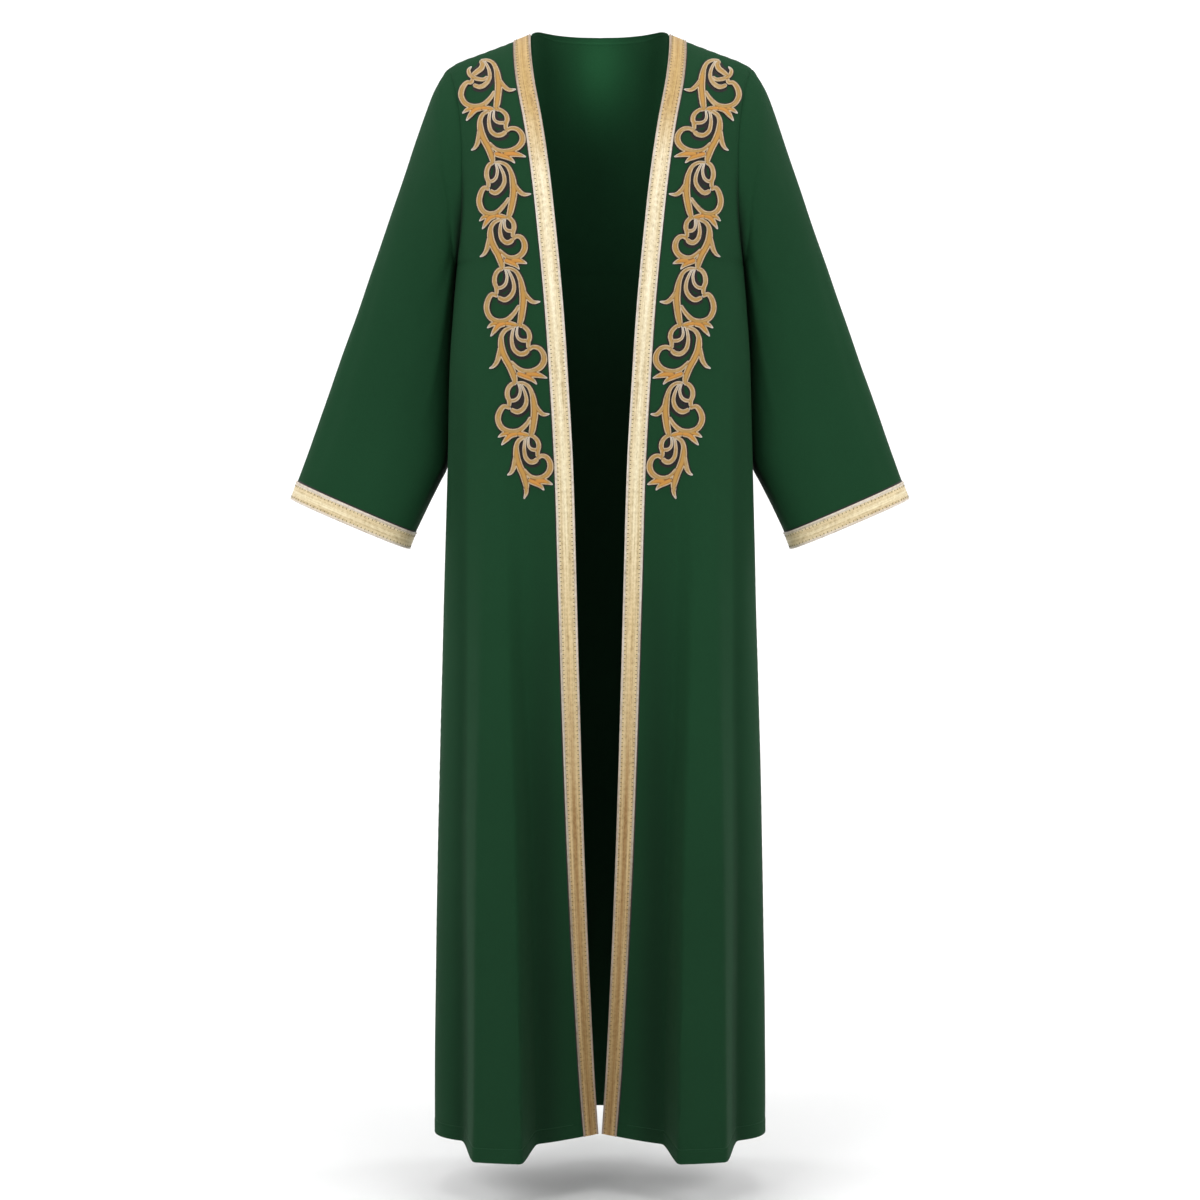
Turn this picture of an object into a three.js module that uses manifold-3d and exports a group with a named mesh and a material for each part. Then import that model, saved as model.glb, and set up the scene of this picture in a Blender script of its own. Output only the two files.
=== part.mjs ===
// An open-front abaya as it hangs, filled out, from a wearer's shoulders: a back, two fronts that
// nearly meet at the hem, two wide set-in sleeves, gold braid down the front edges and round the
// sleeve ends, and a raised gold scroll down each front.
// Millimetres, +Z up, the fronts face -Y. The origin lies midway between the neck ends of the
// shoulder seams. A piece is worked out for the wearer's right (-X) side and mirrored for the other.
import * as THREE from "three";
import { mergeVertices } from "three/addons/utils/BufferGeometryUtils.js";
import Module from "manifold-3d";

const wasm = await Module();
wasm.setup();

// Cloth and seams
const WALL = 1.6;
const SEAM_GAP = 0.3;
const BRAID_WIDTH = 23;
const BRAID_THICK = 1.0;
const BRAID_GAP = 0.3;

// Heights
const HEM_Z = -1387;
const CHEST_Z = -295;
const FLUTE_TOP_Z = -420;

// The body cut across, from the hem up to the underarm. halfWidth is at the side seam, which lies at
// sideY; front and back are how far the cloth stands out before and behind; edge is the same at the
// front opening, half of which is open; square is the corner power, 2 for an ellipse.
const SECTIONS = [
  { z: -1387, halfWidth: 209.6, sideY: -3, front: 82, back: 103, edge: 32, open: 2.5, square: 3.1 },
  { z: -1300, halfWidth: 209.4, sideY: -4, front: 86, back: 102, edge: 42, open: 8.0, square: 3.1 },
  { z: -1100, halfWidth: 207.1, sideY: -7, front: 93, back: 99, edge: 62, open: 17.0, square: 3.0 },
  { z: -900, halfWidth: 202.6, sideY: -11, front: 99, back: 96, edge: 80, open: 23.5, square: 2.9 },
  { z: -700, halfWidth: 196.4, sideY: -17, front: 106, back: 94, edge: 96, open: 28.7, square: 2.8 },
  { z: -545, halfWidth: 191.4, sideY: -22, front: 112, back: 92, edge: 108, open: 33.0, square: 2.7 },
  { z: -415, halfWidth: 188.4, sideY: -22, front: 119, back: 93, edge: 117, open: 40.2, square: 2.6 },
  { z: -350, halfWidth: 184.6, sideY: -15, front: 122, back: 95, edge: 121, open: 44.7, square: 2.5 },
  { z: -295, halfWidth: 181.0, sideY: -6, front: 124, back: 97, edge: 123, open: 49.5, square: 2.5 },
];
const EDGE_TURN = 80; // the front edge turns back over this much of the panel
const EDGE_TURN_POWER = 1.2;

// Above the underarm the rows rise round the shoulder by an angle, 0 at the chest, 90 on the seam.
// width is the section's own half width, armhole where the armhole cuts it off.
const SHOULDER = [
  { angle: 0, width: 181.0, armhole: 181.0 },
  { angle: 2.4, width: 181.4, armhole: 178.9 },
  { angle: 6, width: 182.4, armhole: 176.4 },
  { angle: 11, width: 184.2, armhole: 174.2 },
  { angle: 18, width: 187.0, armhole: 172.6 },
  { angle: 27, width: 191.2, armhole: 171.8 },
  { angle: 37, width: 196.4, armhole: 172.8 },
  { angle: 48, width: 202.0, armhole: 176.6 },
  { angle: 59, width: 206.8, armhole: 182.0 },
  { angle: 70, width: 211.0, armhole: 187.4 },
  { angle: 80, width: 214.0, armhole: 191.2 },
  { angle: 90, width: 216.0, armhole: 194.0 },
];
const CHEST_SQUARE = 2.5;
const FRONT_ROUND = 1.15; // above 1 the front slopes back sooner towards the shoulder
const BACK_ROUND = 0.85;

// The back neckline, from its middle round to the shoulder, and the shoulder seam from there.
const NECK_OUT = 87.6;
const NECKLINE = [
  { out: 0, y: 80, z: 12.0 },
  { out: 30, y: 76, z: 12.0 },
  { out: 55, y: 61, z: 11.5 },
  { out: 70, y: 44, z: 11.0 },
  { out: 78, y: 28, z: 9.5 },
  { out: 84, y: 12, z: 5.5 },
  { out: NECK_OUT, y: 0, z: 0.5 },
];
const SHOULDER_SEAM = [
  { out: NECK_OUT, z: 0.5 },
  { out: 120, z: -12.0 },
  { out: 156, z: -25.5 },
  { out: 177, z: -33.5 },
  { out: 194, z: -43.0 },
];

// The front opening above the chest: half its width at each height.
const NECK_OPENING = [
  { z: -295, open: 49.5 },
  { z: -220, open: 57.3 },
  { z: -169, open: 63.7 },
  { z: -118, open: 71.5 },
  { z: -68, open: 80.9 },
  { z: -30, open: 85.8 },
  { z: 0.5, open: NECK_OUT },
];

// The deep fold that stands forward in each front, and the softer one in each half of the back.
const FRONT_FLUTE = [
  { z: HEM_Z, centre: 124.8, half: 38, wall: 20, depth: 70, dip: 5 },
  { z: -1200, centre: 125.5, half: 36, wall: 22, depth: 56, dip: 4 },
  { z: -1000, centre: 127.0, half: 33, wall: 24, depth: 40, dip: 2.5 },
  { z: -800, centre: 129.0, half: 28, wall: 26, depth: 24, dip: 1 },
  { z: -600, centre: 131.0, half: 24, wall: 30, depth: 10, dip: 0 },
  { z: FLUTE_TOP_Z, centre: 132.0, half: 22, wall: 34, depth: 0, dip: 0 },
];
const BACK_FLUTE = [
  { z: HEM_Z, centre: 104, half: 31, wall: 32, depth: 40, dip: 3 },
  { z: -1000, centre: 108, half: 28, wall: 34, depth: 24, dip: 1 },
  { z: -650, centre: 114, half: 26, wall: 36, depth: 8, dip: 0 },
  { z: FLUTE_TOP_Z, centre: 118, half: 24, wall: 40, depth: 0, dip: 0 },
];

// The sleeve's cuts, from the armhole to its end. Each runs from a point on the upper arm line to
// one on the underarm line; middleY is where its middle lies, depth how far it stands out from
// there, and fit goes from 0, the armhole's own shape, to 1, a squared oval.
const SLEEVE = [
  { outerX: -203.5, outerZ: -59, innerX: -183.6, innerZ: -303, middleY: -1, depth: 62, fit: 0.12 },
  { outerX: -213.8, outerZ: -80, innerX: -185.4, innerZ: -318, middleY: 1, depth: 63, fit: 0.25 },
  { outerX: -233.5, outerZ: -136, innerX: -187.6, innerZ: -352, middleY: 6, depth: 62, fit: 0.5 },
  { outerX: -256.5, outerZ: -201, innerX: -189.6, innerZ: -394, middleY: 11, depth: 60, fit: 0.75 },
  { outerX: -282.0, outerZ: -274, innerX: -191.2, innerZ: -440, middleY: 14, depth: 58, fit: 0.9 },
  { outerX: -307.5, outerZ: -347, innerX: -190.6, innerZ: -485, middleY: 16, depth: 56, fit: 1 },
  { outerX: -330.0, outerZ: -411, innerX: -191.6, innerZ: -526, middleY: 15, depth: 54, fit: 1 },
  { outerX: -341.0, outerZ: -442, innerX: -195.6, innerZ: -548, middleY: 14, depth: 53, fit: 1 },
  { outerX: -351.0, outerZ: -471, innerX: -204.8, innerZ: -567, middleY: 12, depth: 52, fit: 1 },
  { outerX: -368.5, outerZ: -521, innerX: -219.5, innerZ: -596, middleY: 9, depth: 51, fit: 1 },
  { outerX: -383.6, outerZ: -564, innerX: -234.8, innerZ: -629, middleY: 6, depth: 50, fit: 1 },
  { outerX: -391.6, outerZ: -586.6, innerX: -243.2, innerZ: -650, middleY: 5, depth: 50, fit: 1 },
];
const SLEEVE_SQUARE = 2.6;

// The raised gold scroll: one spray, charted as strokes. out runs from the stem's line towards the
// spray's big curl, down runs down the front, and half is half the stroke's width there.
const SCROLL_THICK = 1.0;
const SCROLL_GAP = 0.7;
const SCROLL_TOP_Z = -33;
const SCROLL_FROM_BRAID = 37; // from the braid's outer edge to the stem's line
const SPRAYS = 8;
const SPRAY_PITCH = 64;
const SPRAY = {
  stem: [
    { out: 1, down: -2, half: 1.6 },
    { out: -5, down: 4, half: 2.8 },
    { out: -11, down: 15, half: 4.2 },
    { out: -12, down: 28, half: 4.4 },
    { out: -9, down: 43, half: 3.6 },
    { out: -7, down: 55, half: 2.8 },
    { out: -8, down: 65, half: 2.3 },
  ],
  leaf: [
    { out: -9, down: 12, half: 3.0 },
    { out: -16, down: 25, half: 3.6 },
    { out: -20, down: 34, half: 3.0 },
    { out: -26, down: 39, half: 2.2 },
    { out: -32, down: 38, half: 0.7 },
  ],
  ring: [
    { out: 1, down: 0, half: 1.8 },
    { out: -2, down: 8, half: 2.2 },
    { out: -2, down: 17, half: 2.3 },
    { out: 3, down: 23, half: 2.4 },
    { out: 9, down: 24, half: 2.8 },
    { out: 14, down: 18, half: 3.0 },
    { out: 15, down: 10, half: 2.8 },
    { out: 8, down: 1, half: 2.0 },
  ],
  curl: [
    { out: 10, down: 23, half: 2.2 },
    { out: 16, down: 19, half: 2.7 },
    { out: 24, down: 21, half: 3.4 },
    { out: 28, down: 29, half: 3.8 },
    { out: 26, down: 38, half: 3.6 },
    { out: 18, down: 44, half: 3.0 },
    { out: 8, down: 44, half: 2.6 },
    { out: 0, down: 39, half: 2.2 },
    { out: -7, down: 31, half: 1.8 },
  ],
  flameOut: [
    { out: 11, down: 46, half: 3.4 },
    { out: 20, down: 49, half: 3.0 },
    { out: 31, down: 50, half: 0.7 },
  ],
  flameDown: [
    { out: 7, down: 46, half: 3.8 },
    { out: 15, down: 53, half: 2.8 },
    { out: 22, down: 60, half: 0.7 },
  ],
  root: [
    { out: 12, down: 47, half: 3.6 },
    { out: 5, down: 51, half: 3.6 },
    { out: 0, down: 58, half: 2.4 },
    { out: -1, down: 65, half: 1.8 },
  ],
};
const TAIL = [
  { out: -8, down: 63, half: 2.3 },
  { out: -4, down: 70, half: 2.0 },
  { out: 4, down: 75, half: 0.7 },
];
const STROKE_STEP = 10; // between points along a stroke
const SCROLL_SAG = 0.35; // how far an edge of the scroll may cut under the curve of the cloth
const MOST_HALVINGS = 3;

// How finely the pieces are cut up
const BODY_HEIGHTS = [-1387, -1290, -1190, -1080, -970, -860, -750, -650, -560, -480, -410, -350];
const BRAID_COLUMNS = 2;
const FRONT_COLUMNS = 18;
const NECK_COLUMNS = 14;
const SIDE_COLUMNS = 8;
const FINE = 240;

// Colours
const CLOTH = new THREE.MeshStandardMaterial({ color: 0x1d4a2b, roughness: 0.85, metalness: 0 });
const GOLD_BRAID = new THREE.MeshStandardMaterial({ color: 0xcbb27c, roughness: 0.45, metalness: 0.4 });
const GOLD_THREAD = new THREE.MeshStandardMaterial({ color: 0xc79a50, roughness: 0.5, metalness: 0.3 });

const radians = (degrees) => (degrees * Math.PI) / 180;
const mix = (a, b, share) => a + (b - a) * share;
const smooth = (t) => {
  const s = Math.min(1, Math.max(0, t));
  return s * s * (3 - 2 * s);
};

// A smooth curve through one column of a table, whose rows rise by another column.
function through(rows, by, column) {
  const at = rows.map((row) => row[by]);
  const value = rows.map((row) => row[column]);
  const last = rows.length - 1;
  const slope = at.map((_, i) => {
    const before = Math.max(0, i - 1);
    const after = Math.min(last, i + 1);
    return (value[after] - value[before]) / (at[after] - at[before]);
  });
  return (where) => {
    if (where <= at[0]) return value[0];
    if (where >= at[last]) return value[last];
    const i = at.findLastIndex((start) => start <= where);
    const span = at[i + 1] - at[i];
    const t = (where - at[i]) / span;
    const rise = t * t * (3 - 2 * t);
    return (
      mix(value[i], value[i + 1], rise) +
      span * (t * (1 - t) ** 2 * slope[i] - t * t * (1 - t) * slope[i + 1])
    );
  };
}

const columnsOf = (rows, by) =>
  Object.fromEntries(Object.keys(rows[0]).map((name) => [name, through(rows, by, name)]));
const section = columnsOf(SECTIONS, "z");
const shoulder = columnsOf(SHOULDER, "angle");
const neckline = columnsOf(NECKLINE, "out");
const shoulderSeam = columnsOf(SHOULDER_SEAM, "out");
const neckOpening = through(NECK_OPENING, "z", "open");
const frontFlute = columnsOf(FRONT_FLUTE, "z");
const backFlute = columnsOf(BACK_FLUTE, "z");
const chest = SECTIONS[SECTIONS.length - 1];

// How far a fold stands out, and how far it drops, at a distance from the middle of the body.
function foldAt(flute, out, z) {
  if (z >= FLUTE_TOP_Z) return { depth: 0, dip: 0 };
  const wall = flute.wall(z);
  const inner = smooth((out - flute.centre(z) + flute.half(z)) / wall + 0.5);
  const outer = smooth((flute.centre(z) + flute.half(z) - out) / wall + 0.5);
  return { depth: flute.depth(z) * inner * outer, dip: flute.dip(z) * inner * outer };
}

// The rows of the body: heights below the underarm, then angles over the shoulder.
const ROWS = [
  ...BODY_HEIGHTS.map((z) => ({ z, angle: 0 })),
  ...SHOULDER.map(({ angle }) => ({ z: CHEST_Z, angle })),
];

// A point of the body's outer face. turn goes from 0 at the middle to 90 degrees at the side.
function bodyPoint(row, turn, isFront) {
  const upper = row.angle > 0;
  const width = upper ? shoulder.width(row.angle) : section.halfWidth(row.z);
  const power = 2 / (upper ? CHEST_SQUARE : section.square(row.z));
  const out = width * Math.sin(turn) ** power;
  const fall = Math.max(0, Math.cos(turn)) ** power;
  const sideY = section.sideY(row.z);
  const rise = Math.sin(radians(row.angle));
  const level = Math.max(0, Math.cos(radians(row.angle)));
  if (isFront) {
    const turned = Math.min(1, Math.max(0, out - section.open(row.z)) / EDGE_TURN);
    const front = section.front(row.z);
    const stand = front - (front - section.edge(row.z)) * (1 - turned) ** EDGE_TURN_POWER;
    const fold = foldAt(frontFlute, out, row.z);
    const y = sideY - (stand + sideY) * fall - fold.depth;
    const z = mix(row.z, shoulderSeam.z(out), rise) - fold.dip;
    return new THREE.Vector3(-out, y * level ** FRONT_ROUND, z);
  }
  const fold = foldAt(backFlute, out, row.z);
  const y = sideY + (section.back(row.z) - sideY) * fall + fold.depth;
  const neckShare = 1 - smooth((out - NECK_OUT / 2) / (NECK_OUT / 2));
  const climb = mix(rise, row.angle / 90, neckShare);
  const top = out < NECK_OUT ? neckline : shoulderSeam;
  const topY = out < NECK_OUT ? neckline.y(out) : 0;
  const z = mix(row.z, top.z(out), climb) - fold.dip;
  return new THREE.Vector3(-out, topY + (y - topY) * level ** BACK_ROUND, z);
}

// The turn at which a row of the body reaches a distance from the middle.
function turnAt(row, out) {
  const upper = row.angle > 0;
  const width = upper ? shoulder.width(row.angle) : section.halfWidth(row.z);
  const power = (upper ? CHEST_SQUARE : section.square(row.z)) / 2;
  return Math.asin(Math.min(1, out / width) ** power);
}

const outerEnd = (row) => (row.angle > 0 ? shoulder.armhole(row.angle) : section.halfWidth(row.z));

function openingAt(row) {
  if (row.angle === 0) return section.open(row.z);
  let open = NECK_OUT;
  for (let step = 0; step < 8; step += 1) {
    open = neckOpening(mix(CHEST_Z, shoulderSeam.z(open), Math.sin(radians(row.angle))));
  }
  return open;
}

// Points along one stretch of a row, at given distances along it, or spaced evenly.
function stretch(row, from, to, isFront, count, leading = []) {
  const fine = [];
  for (let i = 0; i <= FINE; i += 1) {
    fine.push(bodyPoint(row, mix(turnAt(row, from), turnAt(row, to), i / FINE), isFront));
  }
  const along = [0];
  for (let i = 1; i <= FINE; i += 1) along.push(along[i - 1] + fine[i].distanceTo(fine[i - 1]));
  const total = along[FINE];
  const lead = leading.length ? leading[leading.length - 1] : 0;
  const rest = count - leading.length;
  const wanted = [0, ...leading];
  for (let i = 1; i <= rest; i += 1) wanted.push(mix(lead, total, i / rest));
  return wanted.map((distance) => {
    const i = Math.min(FINE - 1, Math.max(0, along.findIndex((d) => d > distance) - 1));
    if (distance >= total) return fine[FINE].clone();
    return fine[i].clone().lerp(fine[i + 1], (distance - along[i]) / (along[i + 1] - along[i]));
  });
}

// Moves the ends of a front or back off the seams they share.
function partSeams(grid, towards, sideColumns) {
  const top = grid[grid.length - 1];
  top.forEach((point) => {
    if (Math.abs(point.x) >= NECK_OUT - 0.01) point.y += (towards * SEAM_GAP) / 2;
  });
  grid.forEach((points, r) => {
    if (ROWS[r].angle > 0) return;
    sideColumns.forEach((c) => {
      points[c].y += (towards * SEAM_GAP) / 2;
    });
  });
  return grid;
}

const braidSteps = [...Array(BRAID_COLUMNS).keys()].map((i) => ((i + 1) * BRAID_WIDTH) / BRAID_COLUMNS);
const frontGrid = partSeams(
  ROWS.map((row) => stretch(row, openingAt(row), outerEnd(row), true, FRONT_COLUMNS, braidSteps)),
  -1,
  [FRONT_COLUMNS],
);

const mirrored = (point) => new THREE.Vector3(-point.x, point.y, point.z);
const backGrid = partSeams(
  ROWS.map((row) => {
    const middle = stretch(row, 0, NECK_OUT, false, NECK_COLUMNS / 2);
    const side = stretch(row, NECK_OUT, outerEnd(row), false, SIDE_COLUMNS);
    const half = [...middle, ...side.slice(1)];
    return [...half.slice(1).reverse(), ...half.map(mirrored)];
  }),
  1,
  [0, NECK_COLUMNS + 2 * SIDE_COLUMNS],
);

// The outward normals of a grid of points, from the differences between neighbours.
function normalsOf(grid, isTube, faces) {
  const rows = grid.length;
  const columns = grid[0].length;
  return grid.map((points, r) =>
    points.map((_, c) => {
      const left = isTube ? (c + columns - 1) % columns : Math.max(0, c - 1);
      const right = isTube ? (c + 1) % columns : Math.min(columns - 1, c + 1);
      const across = grid[r][right].clone().sub(grid[r][left]);
      const up = grid[Math.min(rows - 1, r + 1)][c].clone().sub(grid[Math.max(0, r - 1)][c]);
      return across.cross(up).multiplyScalar(faces).normalize();
    }),
  );
}

const moved = (grid, normals, distance) =>
  grid.map((points, r) => points.map((point, c) => point.clone().addScaledVector(normals[r][c], distance)));

// A closed wall between two grids of points, either open-edged or a tube.
function wallBetween(outer, inner, isTube = false) {
  const rows = outer.length;
  const columns = outer[0].length;
  const positions = [];
  for (const grid of [outer, inner]) {
    for (const points of grid) for (const point of points) positions.push(point.x, point.y, point.z);
  }
  const at = (layer, r, c) => layer * rows * columns + r * columns + (c % columns);
  const index = [];
  const quad = (a, b, c, d) => index.push(a, b, c, a, c, d);
  const cells = isTube ? columns : columns - 1;
  for (let r = 0; r < rows - 1; r += 1) {
    for (let c = 0; c < cells; c += 1) {
      quad(at(0, r, c), at(0, r, c + 1), at(0, r + 1, c + 1), at(0, r + 1, c));
      quad(at(1, r, c), at(1, r + 1, c), at(1, r + 1, c + 1), at(1, r, c + 1));
    }
  }
  for (let c = 0; c < cells; c += 1) {
    quad(at(0, 0, c), at(1, 0, c), at(1, 0, c + 1), at(0, 0, c + 1));
    quad(at(0, rows - 1, c), at(0, rows - 1, c + 1), at(1, rows - 1, c + 1), at(1, rows - 1, c));
  }
  if (!isTube) {
    for (let r = 0; r < rows - 1; r += 1) {
      quad(at(0, r, 0), at(0, r + 1, 0), at(1, r + 1, 0), at(1, r, 0));
      quad(at(0, r, cells), at(1, r, cells), at(1, r + 1, cells), at(0, r + 1, cells));
    }
  }
  return closedGeometry(positions, index);
}

// A geometry whose faces point out, whichever way its triangles were listed.
function closedGeometry(positions, index) {
  let volume = 0;
  const corner = (i) => new THREE.Vector3().fromArray(positions, 3 * i);
  for (let i = 0; i < index.length; i += 3) {
    volume += corner(index[i]).dot(corner(index[i + 1]).cross(corner(index[i + 2])));
  }
  if (volume < 0) index.reverse();
  const geometry = new THREE.BufferGeometry();
  geometry.setAttribute("position", new THREE.Float32BufferAttribute(positions, 3));
  geometry.setIndex(index);
  geometry.computeVertexNormals();
  return geometry;
}

// The same piece on the other side of the body.
function mirrorGeometry(geometry) {
  const position = geometry.getAttribute("position").clone();
  for (let i = 0; i < position.count; i += 1) position.setX(i, -position.getX(i));
  return closedGeometry([...position.array], [...geometry.index.array]);
}

// The fronts and the back. Where the two meet, both walls go through the cloth the same way.
function seamNormals(grid, normals, sideColumns) {
  grid.forEach((points, r) => {
    if (ROWS[r].angle > 0) return;
    const slope = (section.halfWidth(ROWS[r].z + 5) - section.halfWidth(ROWS[r].z - 5)) / 10;
    sideColumns.forEach((c) => {
      normals[r][c].set(Math.sign(points[c].x), 0, -slope).normalize();
    });
  });
  const top = grid.length - 1;
  grid[top].forEach((point, c) => {
    const out = Math.abs(point.x);
    if (out < NECK_OUT - 0.01) return;
    const slope = (shoulderSeam.z(out + 3) - shoulderSeam.z(out - 3)) / 6;
    normals[top][c].set(-Math.sign(point.x) * slope, 0, 1).normalize();
  });
  return normals;
}

const frontNormals = seamNormals(frontGrid, normalsOf(frontGrid, false, -1), [FRONT_COLUMNS]);
const backNormals = seamNormals(backGrid, normalsOf(backGrid, false, -1), [0, backGrid[0].length - 1]);
const front = wallBetween(frontGrid, moved(frontGrid, frontNormals, -WALL));
const back = wallBetween(backGrid, moved(backGrid, backNormals, -WALL));

// The braid lies on the first columns of the front.
const onFront = (grid) => grid.map((points) => points.slice(0, BRAID_COLUMNS + 1));
const frontBraid = wallBetween(
  onFront(moved(frontGrid, frontNormals, BRAID_GAP + BRAID_THICK)),
  onFront(moved(frontGrid, frontNormals, BRAID_GAP)),
);

// A stroke of the scroll as a flat solid one unit thick, drawn through its table.
function strokeSolid(table, place) {
  const line = new THREE.CatmullRomCurve3(table.map((row) => new THREE.Vector3(row.out, row.down, 0)));
  const steps = Math.max(2, Math.round(line.getLength() / STROKE_STEP));
  const left = [];
  const right = [];
  for (let i = 0; i <= steps; i += 1) {
    const t = line.getUtoTmapping(i / steps);
    const point = line.getPoint(t);
    const ahead = line.getTangent(t);
    const row = Math.min(table.length - 2, Math.floor(t * (table.length - 1)));
    const half = mix(table[row].half, table[row + 1].half, t * (table.length - 1) - row);
    left.push(place(point.x - ahead.y * half, point.y + ahead.x * half));
    right.push(place(point.x + ahead.y * half, point.y - ahead.x * half));
  }
  const outline = new THREE.Shape([...left, ...right.reverse()]);
  const flat = new THREE.ExtrudeGeometry(outline, { depth: 1, bevelEnabled: false, steps: 1 });
  flat.deleteAttribute("normal");
  flat.deleteAttribute("uv");
  const merged = mergeVertices(flat, 1e-3);
  return new wasm.Manifold(
    new wasm.Mesh({
      numProp: 3,
      vertProperties: merged.getAttribute("position").array,
      triVerts: new Uint32Array(merged.index.array),
    }),
  );
}

// The whole scroll laid flat: sprays that turn to one side and the other, joined in one body.
function flatScroll() {
  const strokes = [];
  for (let spray = 0; spray < SPRAYS; spray += 1) {
    const side = spray % 2 === 0 ? 1 : -1;
    const place = (out, down) => new THREE.Vector2(side * out, down + spray * SPRAY_PITCH);
    const tables = Object.values(SPRAY);
    if (spray === SPRAYS - 1) tables.push(TAIL);
    strokes.push(...tables.map((table) => strokeSolid(table, place)));
  }
  return strokes.reduce((whole, stroke) => whole.add(stroke)).getMesh();
}

// Halves every edge that sags too far once it is placed, in the triangles on both sides of it, a
// few times over. points lie flat and placed are the same points on the cloth.
function halveEdges(points, triangles, place, sag) {
  const placed = points.map(place);
  let list = triangles;
  for (let round = 0; round < MOST_HALVINGS; round += 1) {
    const middles = new Map();
    const middle = (a, b) => {
      const key = a < b ? `${a} ${b}` : `${b} ${a}`;
      if (!middles.has(key)) {
        const flat = points[a].clone().lerp(points[b], 0.5);
        const onCloth = place(flat);
        const isFar = onCloth.distanceTo(placed[a].clone().lerp(placed[b], 0.5)) > sag;
        middles.set(key, isFar ? points.push(flat) - 1 : -1);
        if (isFar) placed.push(onCloth);
      }
      return middles.get(key);
    };
    list = list.flatMap(([a, b, c]) => {
      const ab = middle(a, b);
      const bc = middle(b, c);
      const ca = middle(c, a);
      const cut = [ab, bc, ca].filter((m) => m >= 0).length;
      if (cut === 0) return [[a, b, c]];
      if (cut === 3) return [[a, ab, ca], [ab, b, bc], [ca, bc, c], [ab, bc, ca]];
      const turns = [[a, b, c, ab, bc, ca], [b, c, a, bc, ca, ab], [c, a, b, ca, ab, bc]];
      if (cut === 1) {
        const [p, q, r, pq] = turns.find((turn) => turn[3] >= 0);
        return [[p, pq, r], [pq, q, r]];
      }
      const [p, q, r, pq, qr] = turns.find((turn) => turn[5] < 0);
      return [[p, pq, r], [pq, q, qr], [pq, qr, r]];
    });
  }
  return { placed, list };
}

// The place on the front panel, and the way out of it, that shows at a point seen from the front.
function onPanel(out, z) {
  for (let r = 0; r < frontGrid.length - 1; r += 1) {
    for (let c = 0; c < FRONT_COLUMNS; c += 1) {
      for (const corners of [
        [[r, c], [r, c + 1], [r + 1, c + 1]],
        [[r, c], [r + 1, c + 1], [r + 1, c]],
      ]) {
        const [a, b, d] = corners.map(([i, j]) => frontGrid[i][j]);
        const area = (b.x - a.x) * (d.z - a.z) - (d.x - a.x) * (b.z - a.z);
        const second = ((-out - a.x) * (d.z - a.z) - (d.x - a.x) * (z - a.z)) / area;
        const third = ((b.x - a.x) * (z - a.z) - (-out - a.x) * (b.z - a.z)) / area;
        if (second < 0 || third < 0 || second + third > 1) continue;
        const [na, nb, nd] = corners.map(([i, j]) => frontNormals[i][j]);
        const blend = (p, q, s) =>
          p.clone().multiplyScalar(1 - second - third).addScaledVector(q, second).addScaledVector(s, third);
        return { point: blend(a, b, d), normal: blend(na, nb, nd).normalize() };
      }
    }
  }
  throw new Error(`no cloth at ${out}, ${z}`);
}

// How far out the braid's outer edge lies at a height.
function braidEdge(z) {
  const edge = frontGrid.map((points) => points[BRAID_COLUMNS]);
  const r = Math.max(0, edge.findLastIndex((point) => point.z <= z));
  const next = edge[Math.min(edge.length - 1, r + 1)];
  return -mix(edge[r].x, next.x, (z - edge[r].z) / (next.z - edge[r].z));
}

function scrollOnPanel() {
  const flat = flatScroll();
  const points = [];
  for (let i = 0; i < flat.numVert; i += 1) {
    points.push(new THREE.Vector3().fromArray(flat.vertProperties, i * flat.numProp));
  }
  const triangles = [];
  for (let i = 0; i < flat.numTri; i += 1) triangles.push([...flat.triVerts.slice(3 * i, 3 * i + 3)]);
  const place = ({ x, y, z }) => {
    const height = SCROLL_TOP_Z - y;
    const { point, normal } = onPanel(braidEdge(height) + SCROLL_FROM_BRAID + x, height);
    return point.addScaledVector(normal, SCROLL_GAP + z * SCROLL_THICK);
  };
  const { placed, list } = halveEdges(points, triangles, place, SCROLL_SAG);
  return closedGeometry(placed.flatMap((point) => point.toArray()), list.flat());
}
const scroll = scrollOnPanel();

// The armhole, from the shoulder down the front to the underarm and up the back.
const armholeRows = ROWS.map((row, r) => r).filter((r) => r >= BODY_HEIGHTS.length);
const armholeFront = armholeRows.map((r) => frontGrid[r][FRONT_COLUMNS].clone()).reverse();
const armholeBack = armholeRows.map((r) => backGrid[r][0].clone());
const shoulderPoint = armholeFront[0].clone().lerp(armholeBack[armholeBack.length - 1], 0.5);
const underarm = armholeFront[armholeFront.length - 1].clone().lerp(armholeBack[0], 0.5);
const armhole = [shoulderPoint, ...armholeFront.slice(1, -1), underarm, ...armholeBack.slice(1, -1)];

// Each armhole point's place on its cut: along it from the shoulder to the underarm, and across it.
const armholeDepth = Math.max(...armhole.map((point) => Math.abs(point.y)));
const places = armhole.map((point) => {
  const down = underarm.clone().sub(shoulderPoint);
  const along = (point.z - shoulderPoint.z) / down.z;
  return { along, across: (point.y - mix(shoulderPoint.y, underarm.y, along)) / armholeDepth };
});

// The same places on a squared oval, reached at the same share of the way round.
function ovalPlace(i) {
  const halfCount = armhole.length / 2;
  const turn = (Math.PI * i) / halfCount;
  const power = 2 / SLEEVE_SQUARE;
  const along = 0.5 - 0.5 * Math.sign(Math.cos(turn)) * Math.abs(Math.cos(turn)) ** power;
  return { along, across: -Math.sign(Math.sin(turn)) * Math.abs(Math.sin(turn)) ** power };
}

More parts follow.
